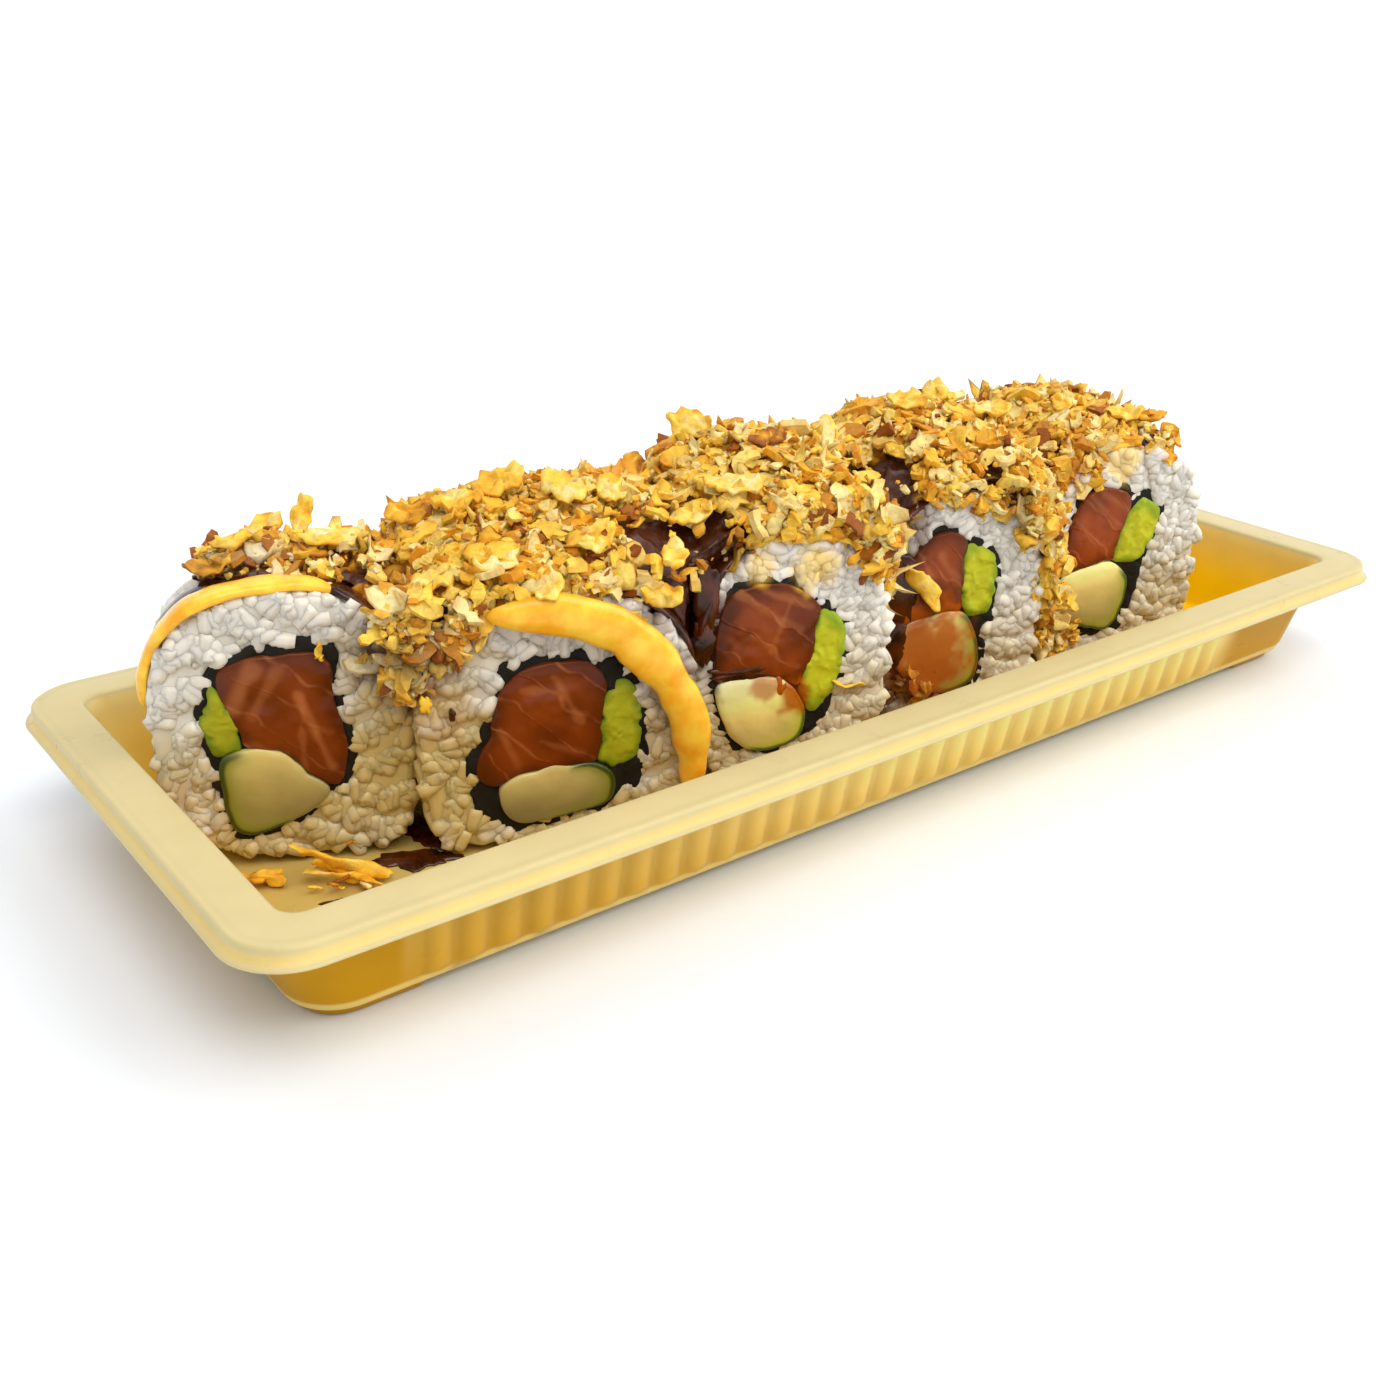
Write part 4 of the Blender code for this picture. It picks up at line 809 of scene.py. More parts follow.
def crumb_shapes(rng, kinds=20):
    """Crumbs: three uneven rings of 5 points between two middles."""
    angles = np.linspace(0.0, 2.0 * math.pi, 5, endpoint=False)
    shapes = []
    for _ in range(kinds):
        rings = []
        for height, fat in ((-0.3, 0.36), (0.0, 0.5), (0.28, 0.34)):
            reach = fat * rng.uniform(0.7, 1.25, 5)
            turn = angles + rng.uniform(-0.3, 0.3)
            rings.append(np.stack([reach * np.cos(turn), reach * np.sin(turn),
                                   height + rng.uniform(-0.08, 0.08, 5)], axis=-1))
        shapes.append(np.array(rings))
    faces = loft(shapes[0])[1]
    return np.stack([loft(rings)[0] for rings in shapes]), faces


def even_pairs(count, seed=0.5):
    """Evenly spread pairs from 0 to 1: steps of the two-dimensional golden ratio."""
    index = np.arange(1, count + 1)
    return (seed + index * 0.7548776662) % 1.0, (seed + index * 0.5698402910) % 1.0


# Rice

def rice_bed(roll, pole, angles, outer, hole, seed):
    """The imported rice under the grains: a ring section from the nori out over the front, along the outside
    and back, carried round the roll, with lumps of noise pressed into it."""
    sections = []
    inset = 0.9
    shares = np.linspace(0.0, 1.0, 9)
    for share in shares:
        radius = hole + (outer - inset - hole) * share
        sections.append((radius, inset * 0.9 + 0.4 * share ** 6))
    for back in np.linspace(1.8, roll.depth - 1.8, 30):
        sections.append((outer - inset, back))
    for share in shares[::-1]:
        radius = hole + (outer - inset - hole) * share
        sections.append((radius, roll.depth - inset * 0.9 - 0.4 * share ** 6))
    radii = np.stack([radius for radius, _ in sections])
    depth = np.array([back for _, back in sections])[:, None]
    u = pole[0] + np.cos(angles) * radii
    w = pole[1] + np.sin(angles) * radii
    rings = place(roll, u, depth + np.zeros_like(u), w)
    rings = rings + wobble(rings, 2.0 * MM, 0.35 * MM, seed)
    return loft(rings, looped=True)


def grain_spots(roll, pole, angles, outer, hole, looks, seed):
    """Where grains lie: over the outside by arc length and depth, and over both cut faces by area, with
    each one's outward direction. Grains that the onion heap hides are left out."""
    count = looks.side_grains
    loop = pole + np.stack([np.cos(angles), np.sin(angles)], axis=-1) * outer[:, None]
    gap = np.linalg.norm(np.roll(loop, -1, axis=0) - loop, axis=1)
    arc = np.concatenate([[0.0], np.cumsum(gap)])
    number = int(count * arc[-1] * roll.depth / 3900.0)
    first, second = even_pairs(number, seed * 0.37 % 1.0)
    index = np.searchsorted(arc, first * arc[-1]) - 1
    index = np.clip(index, 0, len(loop) - 1)
    part = (first * arc[-1] - arc[index]) / gap[index]
    nearby = np.roll(loop, -1, axis=0)[index]
    flat = loop[index] + (nearby - loop[index]) * part[:, None]
    along = nearby - loop[index]
    normal = np.stack([along[:, 1], -along[:, 0]], axis=-1) / np.linalg.norm(along, axis=1)[:, None]
    depth = 1.6 + (roll.depth - 3.2) * second
    hidden = ((flat[:, 1] > 31.0) & (flat[:, 0] > roll.heap_span[0] + 1.0) & (flat[:, 0] < roll.heap_span[1] - 1.0)
              & (depth > roll.heap_front + 2.5)) | (flat[:, 1] < 0.6)
    flat, normal, depth = flat[~hidden], normal[~hidden], depth[~hidden]
    spots = [place(roll, flat[:, 0] - normal[:, 0] * 1.1, depth, flat[:, 1] - normal[:, 1] * 1.1)]
    ups = [(place(roll, normal[:, 0], np.zeros(len(normal)), normal[:, 1]) - place(roll, 0.0, 0.0, 0.0)) / MM]
    area = np.cumsum(outer ** 2 - hole ** 2)
    for side, depth in ((-1.0, 1.15), (1.0, roll.depth - 1.15)):
        first, second = even_pairs(looks.face_grains, seed * 0.61 % 1.0 + depth)
        index = np.searchsorted(area, first * area[-1])
        inner = hole[index] - 0.5
        radius = np.sqrt(inner ** 2 + ((outer[index] - 1.3) ** 2 - inner ** 2) * second)
        u = pole[0] + np.cos(angles[index]) * radius
        w = pole[1] + np.sin(angles[index]) * radius
        spots.append(place(roll, u, depth + np.zeros(len(u)), w))
        way = (place(roll, 0.0, side, 0.0) - place(roll, 0.0, 0.0, 0.0)) / MM
        ups.append(np.broadcast_to(way, (len(u), 3)))
    spots, ups = np.concatenate(spots), np.concatenate(ups)
    return spots + ups * (0.3 * MM * noise(spots, 4.0 * MM, seed))[:, None], ups


# How light each roll's rice is beside the others: painted light and shade, since every roll holds the same rice
RICE_PAINTED_LIGHT = (0.86, 0.86, 1.0, 0.97, 0.93)


def make_rice(looks, sauces):
    """Every roll's rice: a lumpy bed with real grains pressed into its outside and both cut faces."""
    finish = make_rice_finish()
    rng = np.random.default_rng(5)
    shapes, faces = grain_shapes(rng)
    for number, roll in enumerate(ROLLS, 1):
        # The rice made lighter or darker for each roll: painted light and shade.
        white = np.array(looks.colour[:]) * RICE_PAINTED_LIGHT[number - 1]
        pole, angles, hole, _, _ = face_of("nori_%d" % number, roll, 144)
        outer = rice_radius(roll, pole, angles)
        bed_points, bed_faces = rice_bed(roll, pole, angles, outer, hole - 0.3, number)
        bed_tint = mixed(white * 0.9, white, 0.5 + 0.5 * noise(bed_points, 3.0 * MM, number))
        spots, ups = grain_spots(roll, pole, angles, outer, hole, looks, number)
        count = len(spots)
        axes = turned(ups, rng, np.abs(rng.normal(0.0, 0.26, count)))
        length = looks.grain_length * rng.uniform(0.82, 1.12, count)
        width = looks.grain_width * rng.uniform(0.85, 1.12, count)
        sizes = np.stack([length, width, width * 0.86], axis=-1) * MM
        points, grain_faces = copies(shapes, faces, rng.integers(0, len(shapes), count), sizes, axes, spots)
        u, t, w = within(roll, points)
        points = place(roll, u, t, np.maximum(w, -0.2))
        shade = rng.uniform(0.93, 1.05, count)[:, None, None]
        tint = np.minimum(white * shade * np.ones(points.shape), 0.97)
        tint = mixed(tint, tint * np.array([0.97, 0.93, 0.8]), smoothstep(30.0, 8.0, w))
        all_points, all_faces = joined([(bed_points, bed_faces), (points.reshape(-1, 3), grain_faces)])
        all_tint = np.concatenate([bed_tint, tint.reshape(-1, 3)])
        all_tint = stained(all_points, all_tint, sauces)
        all_tint, wet = soaked(all_points, all_tint, np.zeros(len(all_points)), sauces, 0.85)
        add_piece("rice_grains_%d" % number, all_points, all_faces, finish, all_tint, wet,
                  replaces=["rice_%d" % number])


# Crispy onion

def rice_crest(roll, u):
    """The height of a roll's own rice at u: the upper half of its outline, |s|^n + |h|^n = 1 in half sizes."""
    middle = (roll.left + roll.right) / 2.0
    half = (roll.right - roll.left) / 2.0
    side = np.clip(np.abs((u - middle) / half), 0.0, 1.0)
    return roll.height / 2.0 * (1.0 + (1.0 - side ** ROUND_TOP) ** (1.0 / ROUND_TOP))


def heap_surface(columns=20, rows=36, bridge=4, wall=7):
    """The heap's skin over all five rolls as a (columns, rows, 3) array: each column climbs the front wall,
    runs back over the top and down the back wall.

    Over a roll its height is the crest h(1 - d((u - m)/half)^4) plus a layer that swells from the front by
    0.2 + 0.8 sin. The walls start just inside the rice, and a few columns bridge one roll to the next.
    """
    climb = np.linspace(0.0, 1.0, wall, endpoint=False)[None, :]
    share = np.linspace(0.0, 1.0, rows)[None, :]
    skins = []
    for number, roll in enumerate(ROLLS):
        u = np.linspace(*roll.heap_span, columns)[:, None]
        middle = (roll.left + roll.right) / 2.0
        half = (roll.right - roll.left) / 2.0
        roof = roll.height * (1.0 - SHOULDER_DIP * np.abs((u - middle) / half) ** 4)
        spread = (u - roll.left) / (roll.right - roll.left) * 2.0
        layer = np.interp(spread, (0.0, 1.0, 2.0), roll.heap_thickness)
        profile = 0.2 + 0.8 * np.sin(math.pi * np.minimum(1.0, 0.04 + share * 0.82))
        t = roll.heap_front + (roll.depth - 0.5 - roll.heap_front) * share
        top = place(roll, u + 0.0 * share, t + 0.0 * u, roof + layer * profile)
        foot = rice_crest(roll, u) - 1.2
        if number == 3:
            foot = foot + smoothstep(17.0, 20.5, u) * (9.0 - foot)
        if number == 4:
            foot = foot + smoothstep(-11.0, -13.8, u) * (9.0 - foot)
        front = place(roll, u + 0.0 * climb, roll.heap_front + 1.6 - 1.6 * np.sin(climb * math.pi / 2.0) + 0.0 * u,
                      foot + (roof + layer * profile[:, :1] - foot) * climb)
        back_foot = np.minimum(foot, rice_crest(roll, u) - 1.2)
        back = place(roll, u + 0.0 * climb, roll.depth - 0.5 + 0.0 * (u + climb),
                     roof + layer * profile[:, -1:] + (back_foot - roof - layer * profile[:, -1:]) * (climb + 1.0 / wall))
        skin = np.concatenate([front, top, back], axis=1)
        if skins:
            between = np.linspace(0.0, 1.0, bridge + 2)[1:-1, None, None]
            skins.append(skins[-1][-1] * (1.0 - between) + skin[0] * between)
        skins.append(skin)
    surface = np.concatenate(skins)
    for _ in range(2):
        surface[1:-1] = (surface[:-2] + 2.0 * surface[1:-1] + surface[2:]) / 4.0
    return surface


def spread_over(surface, count, rng):
    """Spots spread evenly over a grid surface by the area of its cells, and each one's upward normal."""
    first = surface[1:, :-1] - surface[:-1, :-1]
    second = surface[:-1, 1:] - surface[:-1, :-1]
    cross = np.cross(first, second)
    area = np.linalg.norm(cross, axis=-1)
    total = np.cumsum(area.ravel())
    picks = np.searchsorted(total, (np.arange(count) + rng.uniform(size=count)) / count * total[-1])
    column, row = np.unravel_index(np.clip(picks, 0, area.size - 1), area.shape)
    a, b = rng.uniform(size=(2, count, 1))
    near = surface[column, row] * (1 - a) + surface[column + 1, row] * a
    far = surface[column, row + 1] * (1 - a) + surface[column + 1, row + 1] * a
    normal = cross[column, row] / area[column, row][:, None]
    return near * (1 - b) + far * b, normal


# Places where the glaze shows between the crisps: roll, u, t, radius and how bare it is
BARE = (
    (0, -9.0, 8.0, 7.0, 0.75), (0, 0.0, 6.0, 4.0, 0.5), (0, 10.0, 4.0, 6.0, 0.8), (1, -17.0, 3.0, 5.0, 0.5),
    (1, 17.0, 6.0, 8.0, 0.95), (1, 18.0, 14.0, 5.0, 0.7), (2, -12.0, 2.5, 6.5, 0.95), (2, -5.0, 2.0, 3.0, 0.6),
    (2, 17.0, 10.0, 4.0, 0.5), (3, -11.0, 3.0, 8.0, 0.95), (3, 8.0, 2.0, 4.5, 0.6), (3, 17.0, 24.0, 4.0, 0.5),
    (4, 8.0, 3.0, 5.0, 0.7),
)


def bareness(spots):
    """How bare each spot is: the strongest of the bare places near it, falling off by smoothstep."""
    bare = np.zeros(len(spots))
    for number, u, t, radius, strength in BARE:
        roll = ROLLS[number]
        here_u, here_t, _ = within(roll, spots)
        away = np.hypot(here_u - u, here_t - t) / radius
        bare = np.maximum(bare, strength * (1.0 - smoothstep(0.5, 1.15, away)))
    return bare


def onion_colours(count, looks, rng, weights):
    """A colour for each piece, between two neighbours of pale, gold, amber and brown."""
    return toned(looks, rng.choice(4, count, p=weights) + rng.uniform(-0.5, 0.5, count))


def scatter_onion(name, shapes, faces, spots, normals, sizes, tilt, colours, edge_dark, rng, finish, sauces,
                  replaces=(), smooth=False):
    """One piece from many copies of small shapes, each darker at its rim and stained by the sauces."""
    count = len(spots)
    axes = turned(normals, rng, tilt)
    picks = rng.integers(0, len(shapes), count)
    points, _ = copies(shapes, faces, picks, sizes * MM, axes, spots)
    reach = np.linalg.norm(shapes[..., :2], axis=-1)
    rim = smoothstep(0.55, 1.0, reach / reach.max(axis=1, keepdims=True))[picks]
    tint = colours[:, None, :] * (1.0 - edge_dark * rim[..., None] * np.array([0.3, 0.6, 1.0]))
    low = points[..., 2].max(axis=1) < HIGHEST
    points, tint = points[low], tint[low]
    step = shapes.shape[1]
    all_faces = [(group[None] + (np.arange(low.sum()) * step)[:, None, None]).reshape(-1, group.shape[1])
                 for group in faces]
    flat = points.reshape(-1, 3)
    tint = tint.reshape(-1, 3) * (1.0 + 0.18 * noise(flat, 1.1 * MM, 4))[:, None]
    tint, wet = soaked(flat, tint, np.zeros(len(flat)), sauces, 0.7)
    return add_piece(name, flat, all_faces, finish, np.clip(tint, 0.0, 1.0), wet, replaces=replaces,
                     smooth=smooth)


def refined(surface, columns, rows):
    """The same skin with more points: straight steps between the old ones, smoothed twice."""
    for axis, count in ((0, columns), (1, rows)):
        place_on = np.linspace(0.0, surface.shape[axis] - 1.0, count)
        low = np.minimum(place_on.astype(int), surface.shape[axis] - 2)
        part = (place_on - low).reshape([-1 if index == axis else 1 for index in range(3)])
        surface = np.take(surface, low, axis) * (1.0 - part) + np.take(surface, low + 1, axis) * part
    for _ in range(2):
        surface[1:-1] = (surface[:-2] + 2.0 * surface[1:-1] + surface[2:]) / 4.0
        surface[:, 1:-1] = (surface[:, :-2] + 2.0 * surface[:, 1:-1] + surface[:, 2:]) / 4.0
    return surface


def ridges(points, size, seed):
    """Crumpled relief from -1 to 1: sharp crests where the noise passes through nothing."""
    return 1.0 - 2.0 * np.minimum(1.0, 2.6 * np.abs(noise(points, size, seed)))


def onion_tones(looks):
    """The onion's four colours from pale to brown."""
    return np.array([looks.pale_colour[:], looks.gold_colour[:], looks.amber_colour[:], looks.brown_colour[:]])


def toned(looks, level):
    """Colours between two neighbours of the onion's four, for levels from 0 to 3."""
    level = np.clip(level, 0.0, 2.99)
    below = level.astype(int)
    tones = onion_tones(looks)
    return mixed(tones[below], tones[below + 1], level - below)


def make_heap_core(surface, finish, looks, sauces):
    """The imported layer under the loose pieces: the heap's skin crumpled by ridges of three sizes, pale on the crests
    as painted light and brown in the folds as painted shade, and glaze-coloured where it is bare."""
    skin = refined(surface, 420, 170)
    normal = np.cross(np.gradient(skin, axis=0), np.gradient(skin, axis=1))
    normal /= np.maximum(np.linalg.norm(normal, axis=-1, keepdims=True), 1e-12)
    stretched = skin + wobble(skin, 5.0 * MM, 1.6 * MM, 7)
    large = ridges(stretched, 4.2 * MM, 8)
    small = ridges(stretched, 1.9 * MM, 9)
    fine = noise(skin, 0.8 * MM, 10)
    bare = bareness(skin.reshape(-1, 3)).reshape(skin.shape[:2])
    column = np.arange(len(skin))[:, None]
    end = np.minimum(column, len(skin) - 1 - column) / 16.0 + 0.45 * noise(skin, 3.0 * MM, 12)
    relief = (0.75 * large + 0.5 * small + 0.22 * fine) * (1.0 - 0.7 * bare) - 0.9 - 0.5 * bare
    relief = relief - 2.4 * (1.0 - smoothstep(0.0, 1.0, end))
    rings = skin + normal * relief[..., None] * MM
    rings[..., 2] = np.minimum(rings[..., 2], HIGHEST)
    points, faces = loft(rings)
    # Painted light and shade: the level is paler on the ridges' crests and browner in their folds, and the bare glaze
    # is a little darker, painted shade between the crisps.
    level = 1.45 - 0.75 * large - 0.6 * small - 0.5 * fine + 0.7 * noise(skin, 6.0 * MM, 11)
    glaze = np.array(sauces.glaze_colour[:])
    tint = mixed(toned(looks, level), glaze * 0.8 + 0.0 * rings, smoothstep(0.25, 0.6, bare + 0.25 * fine))
    rows = len(rings)
    add_piece("onion_underlayer", points, faces, finish, with_ends(tint, rows),
              with_ends(np.clip(bare, 0.0, 0.9), rows))


def in_camera(points):
    """Where world points fall on the photograph, 1400 pixels wide and high, and how far away they are."""
    seen = (points - np.array(CAMERA["place"])) @ np.array(camera_axes()).T
    ratio = CAMERA["focal_pixels"] / -seen[..., 2]
    half = CAMERA["frame_pixels"] / 2.0
    return np.stack([half + seen[..., 0] * ratio, half - seen[..., 1] * ratio], axis=-1), -seen[..., 2]


def under_pixel(surface, x, y):
    """The point of a grid skin under a place on the photograph, and its outward normal: of the cells that
    face the camera and fall within a few pixels, the nearest one."""
    first = surface[1:, :-1] - surface[:-1, :-1]
    second = surface[:-1, 1:] - surface[:-1, :-1]
    normal = np.cross(first, second)
    normal = normal / np.linalg.norm(normal, axis=-1, keepdims=True)
    centre = (surface[:-1, :-1] + surface[1:, 1:]) / 2.0
    spot, far = in_camera(centre)
    away = np.hypot(spot[..., 0] - x, spot[..., 1] - y)
    score = away + 400.0 * far + 60.0 * (np.sum(normal * (centre - np.array(CAMERA["place"])), axis=-1) > 0.0)
    score = np.where(away < away.min() + 9.0, score, np.inf)
    index = np.unravel_index(np.argmin(score), score.shape)
    return centre[index], normal[index]


def on_face(roll, x, y, t=0.0):
    """The u and w on a roll's cut face, or on the plane t behind it, of a place on the photograph."""
    half = CAMERA["frame_pixels"] / 2.0
    right, up, back = (np.array(axis) for axis in camera_axes())
    ray = right * (x - half) / CAMERA["focal_pixels"] - up * (y - half) / CAMERA["focal_pixels"] - back
    start = np.array(CAMERA["place"])
    _, start_t, _ = within(roll, start)
    _, ahead_t, _ = within(roll, start + ray)
    spot = start + ray * (t - start_t) / (ahead_t - start_t)
    u, _, w = within(roll, spot)
    return float(u), float(w)


def make_onion(looks, sauces):
    """The heap of crispy onion: an underlayer, crumbs, strips, flakes and a few large flakes on top."""
    finish = make_onion_finish()
    rng = np.random.default_rng(12)
    surface = heap_surface()
    make_heap_core(surface, finish, looks, sauces)
    kinds = (
        ("onion_crumbs", crumb_shapes(rng), looks.crumbs, (1.0, 3.0), (1.0, 0.75, 0.7), (-0.7, 0.7), 0.8,
         (0.2, 0.45, 0.26, 0.09), 0.15),
        ("onion_fine_crumbs", crumb_shapes(rng), looks.crumbs // 2, (0.5, 1.4), (1.3, 0.8, 0.6), (-0.5, 0.8), 0.9,
         (0.3, 0.46, 0.19, 0.05), 0.1),
        ("onion_strips", strip_shapes(rng), looks.strips, (2.8, 7.5), (1.0, 1.1, 1.1), (-0.6, 1.0), 0.6,
         (0.24, 0.43, 0.25, 0.08), 0.55),
        ("onion_flakes", flake_shapes(rng), looks.flakes, (2.0, 6.2), (1.0, 0.85, 1.0), (-0.6, 0.9), 0.6,
         (0.34, 0.44, 0.18, 0.04), 0.65),
    )
    for name, (shapes, faces), number, lengths, stretch, lifts, tilt, weights, edge_dark in kinds:
        spots, normals = spread_over(surface, number, rng)
        keep = rng.uniform(size=number) > bareness(spots)
        spots, normals = spots[keep], normals[keep]
        spots, normals = with_clumps(spots, normals, name, rng)
        count = len(spots)
        relief = 0.9 * noise(spots, 4.5 * MM, 31)
        spots = spots + normals * (rng.uniform(*lifts, count) + relief)[:, None] * MM
        length = lengths[0] + (lengths[1] - lengths[0]) * rng.uniform(size=count) ** 1.7
        sizes = length[:, None] * np.array(stretch) * rng.uniform(0.8, 1.15, (count, 3))
        colours = onion_colours(count, looks, rng, weights)
        first_roll = smoothstep(-0.062, -0.08, spots[:, 0])
        colours = np.minimum(mixed(colours, colours * np.array([1.02, 1.08, 1.6]), first_roll), 0.96)
        scatter_onion(name, shapes, faces, spots, normals, sizes, np.abs(rng.normal(0.0, tilt, count)), colours,
                      edge_dark, rng, finish, sauces, ["crispy_onion"] if name == "onion_flakes" else (),
                      name == "onion_flakes")
    make_large_flakes(surface, finish, looks, sauces, rng)


# Clumps of small onion on the cut faces and in the gaps: the roll whose face they lie before, the place on
# the photograph, the depth behind that face, the radius in millimetres and the number of pieces
CLUMPS = (
    (1, 404, 622, 0.5, 4.5, 60), (1, 412, 655, 0.8, 4.0, 46), (1, 405, 685, 1.2, 2.6, 22),
    (0, 362, 662, -0.1, 1.3, 6), (1, 452, 655, 0.2, 2.4, 14), (1, 530, 606, 0.4, 3.2, 24),
    (1, 470, 628, 0.4, 3.0, 22), (1, 590, 598, 1.0, 2.6, 16),
    (2, 878, 552, 0.0, 4.2, 46), (2, 868, 515, 0.0, 4.5, 40), (2, 800, 520, 0.6, 3.4, 24),
    (3, 1040, 516, 0.0, 4.6, 56), (3, 1058, 560, 0.6, 2.6, 24), (3, 1060, 600, 1.2, 2.2, 16),
    (4, 1062, 632, 0.5, 3.6, 46), (3, 912, 684, 0.6, 3.6, 34), (3, 990, 505, 0.4, 3.0, 20),
    (4, 1165, 440, 1.5, 2.4, 16), (1, 640, 632, 0.5, 2.2, 10), (4, 1090, 470, 0.8, 3.0, 16),
)
CLUMP_SHARES = {"onion_crumbs": 1.0, "onion_fine_crumbs": 1.0, "onion_strips": 0.4, "onion_flakes": 0.35}


def with_clumps(spots, normals, name, rng):
    """Spots and normals with those of the clumps added: each clump's spots fill a flattened ball."""
    for number, x, y, t, radius, pieces in CLUMPS:
        roll = ROLLS[number]
        count = int(pieces * CLUMP_SHARES[name])
        u, w = on_face(roll, x, y, t)
        way = rng.normal(size=(count, 3))
        way /= np.linalg.norm(way, axis=1)[:, None]
        shift = way * radius * rng.uniform(size=(count, 1)) ** 0.5
        shift[:, 1] *= 0.3
        spots = np.concatenate([spots, place(roll, u + shift[:, 0], t + shift[:, 1], w + shift[:, 2])])
        out = (place(roll, 0.0, -1.0, 0.6) - place(roll, 0.0, 0.0, 0.0)) / MM
        normals = np.concatenate([normals, np.broadcast_to(out / np.linalg.norm(out), (count, 3))])
    return spots, normals


# Single large flakes on the heap: the place on the photograph, length and width in millimetres, how far it
# stands up from 0 to 1, its turn in degrees, and its tone from 0 for pale to 3 for brown
LARGE_FLAKES = (
    (490, 568, 8.5, 7.0, 0.1, 20, 0.0), (432, 588, 7.0, 6.0, 0.1, 70, 0.3), (852, 440, 8.0, 6.5, 0.25, 10, 0.1),
    (372, 592, 7.0, 4.5, 0.3, 30, 2.5), (690, 432, 8.0, 5.5, 0.8, 0, 1.0), (820, 446, 9.0, 4.0, 0.7, 80, 0.3),
    (735, 492, 10.0, 6.0, 0.1, 10, 0.2), (500, 498, 8.0, 6.0, 0.6, 40, 0.8), (560, 500, 9.0, 6.0, 0.4, 120, 0.4),
    (905, 410, 8.0, 5.0, 0.5, 15, 0.8), (640, 472, 6.0, 4.5, 0.6, 60, 2.0), (768, 446, 6.5, 4.5, 0.3, 20, 2.2),
    (420, 522, 7.0, 5.0, 0.5, 0, 1.6), (455, 512, 8.0, 5.0, 0.4, 30, 0.6), (590, 545, 8.0, 5.5, 0.2, 60, 0.4),
    (330, 548, 11.0, 4.0, 0.2, 5, 0.2), (265, 532, 6.0, 5.0, 0.6, 70, 0.9), (232, 552, 6.0, 4.5, 0.4, 20, 0.9),
    (540, 580, 7.0, 5.0, 0.2, 110, 0.4), (655, 590, 6.0, 4.5, 0.3, 10, 1.0), (985, 420, 7.0, 4.5, 0.4, 30, 0.6),
    (1060, 412, 6.5, 4.5, 0.4, 80, 0.7), (1120, 420, 7.0, 4.5, 0.4, 10, 0.8), (1150, 424, 7.0, 3.5, 0.3, 20, 1.4),
    (795, 510, 7.0, 4.5, 0.3, 50, 0.5), (850, 500, 6.0, 4.5, 0.3, 10, 0.8), (935, 400, 6.0, 5.0, 0.6, 50, 0.6),
    (610, 500, 7.0, 5.0, 0.3, 100, 0.6), (700, 520, 7.5, 5.0, 0.3, 30, 0.5), (303, 513, 8.0, 2.8, 0.85, 90, 0.6),
    (1165, 445, 6.0, 3.0, 0.4, 90, 1.4), (670, 560, 7.0, 4.0, 0.3, 75, 0.7), (215, 575, 6.5, 3.5, 0.3, 15, 1.2),
)


def make_large_flakes(surface, finish, looks, sauces, rng):
    """The flakes that stand out of the heap: fine cupped shells with a ruffled rim, each where it is seen.

    A shell is a disc whose edge is r(0.9 + 0.1 sin 2a + 0.05 sin 5a), bent along its length by x^2 and lifted
    at the rim by a wave of four or five crests.
    """
    around, steps = 26, np.array([0.3, 0.55, 0.78, 0.93, 1.0])
    angles = np.linspace(0.0, 2.0 * math.pi, around, endpoint=False)[None, :]
    parts, tints, wets = [], [], []
    share = np.concatenate([steps, steps[-2::-1]])[:, None]
    side = np.concatenate([np.ones(4), [0.0], -np.ones(4)])[:, None]
    for x, y, length, width, stand, heading, tone in LARGE_FLAKES:
        middle, normal = under_pixel(surface, x, y)
        phase = rng.uniform(0.0, 6.28, 4)
        reach = 0.9 + 0.1 * np.sin(2.0 * angles + phase[0]) + 0.05 * np.sin(5.0 * angles + phase[1])
        flat_x = np.cos(angles) * reach * share * length / 2.0
        flat_y = np.sin(angles) * reach * share * width / 2.0
        crests = rng.integers(4, 6)
        lift = 0.22 * share ** 3 * np.sin(crests * angles + phase[2]) + (flat_x / length) ** 2 * length * 0.4
        lift = lift + side * 0.3 + 0.55 * np.sin(flat_x * 2.3 + phase[3]) * np.sin(flat_y * 2.1)
        shape = np.stack([flat_x, flat_y, lift], axis=-1) * MM
        up = normal + np.array([0.0, 0.0, 0.6])
        right = np.array(camera_axes()[0])
        lean = np.array([0.0, 0.0, 1.0]) * (1.0 - stand) - np.array(camera_axes()[2]) * -stand
        up = up / np.linalg.norm(up) * (1.0 - stand) + lean
        up /= np.linalg.norm(up)
        angle = math.radians(heading)
        along = right * math.cos(angle) + np.cross(up, right) * math.sin(angle)
        along -= up * np.dot(along, up)
        along /= np.linalg.norm(along)
        axes = np.stack([along, np.cross(up, along), up], axis=-1)
        rings = shape @ axes.T + middle + normal * (0.8 + 0.3 * length * stand) * MM
        rings = rings + wobble(rings, 1.4 * MM, 0.42 * MM, int(x)) + wobble(rings, 0.6 * MM, 0.2 * MM, int(y))
        rings[..., 2] -= max(0.0, rings[..., 2].max() - HIGHEST)
        parts.append(loft(rings))
        level = tone + 0.25 + 1.1 * noise(rings, 1.9 * MM, int(y)) + 0.8 * noise(rings, 0.7 * MM, int(x))
        level = level + 2.4 * (share - 0.75) * (share > 0.75)
        tints.append(with_ends(toned(looks, level), len(rings)))
        wets.append(np.zeros(len(parts[-1][0])))
    points, faces = joined(parts)
    tint, wet = soaked(points, np.concatenate(tints), np.concatenate(wets), sauces, 0.5)
    add_piece("onion_large_flakes", points, faces, finish, tint, wet)


# Sauces that stand up from what they lie on

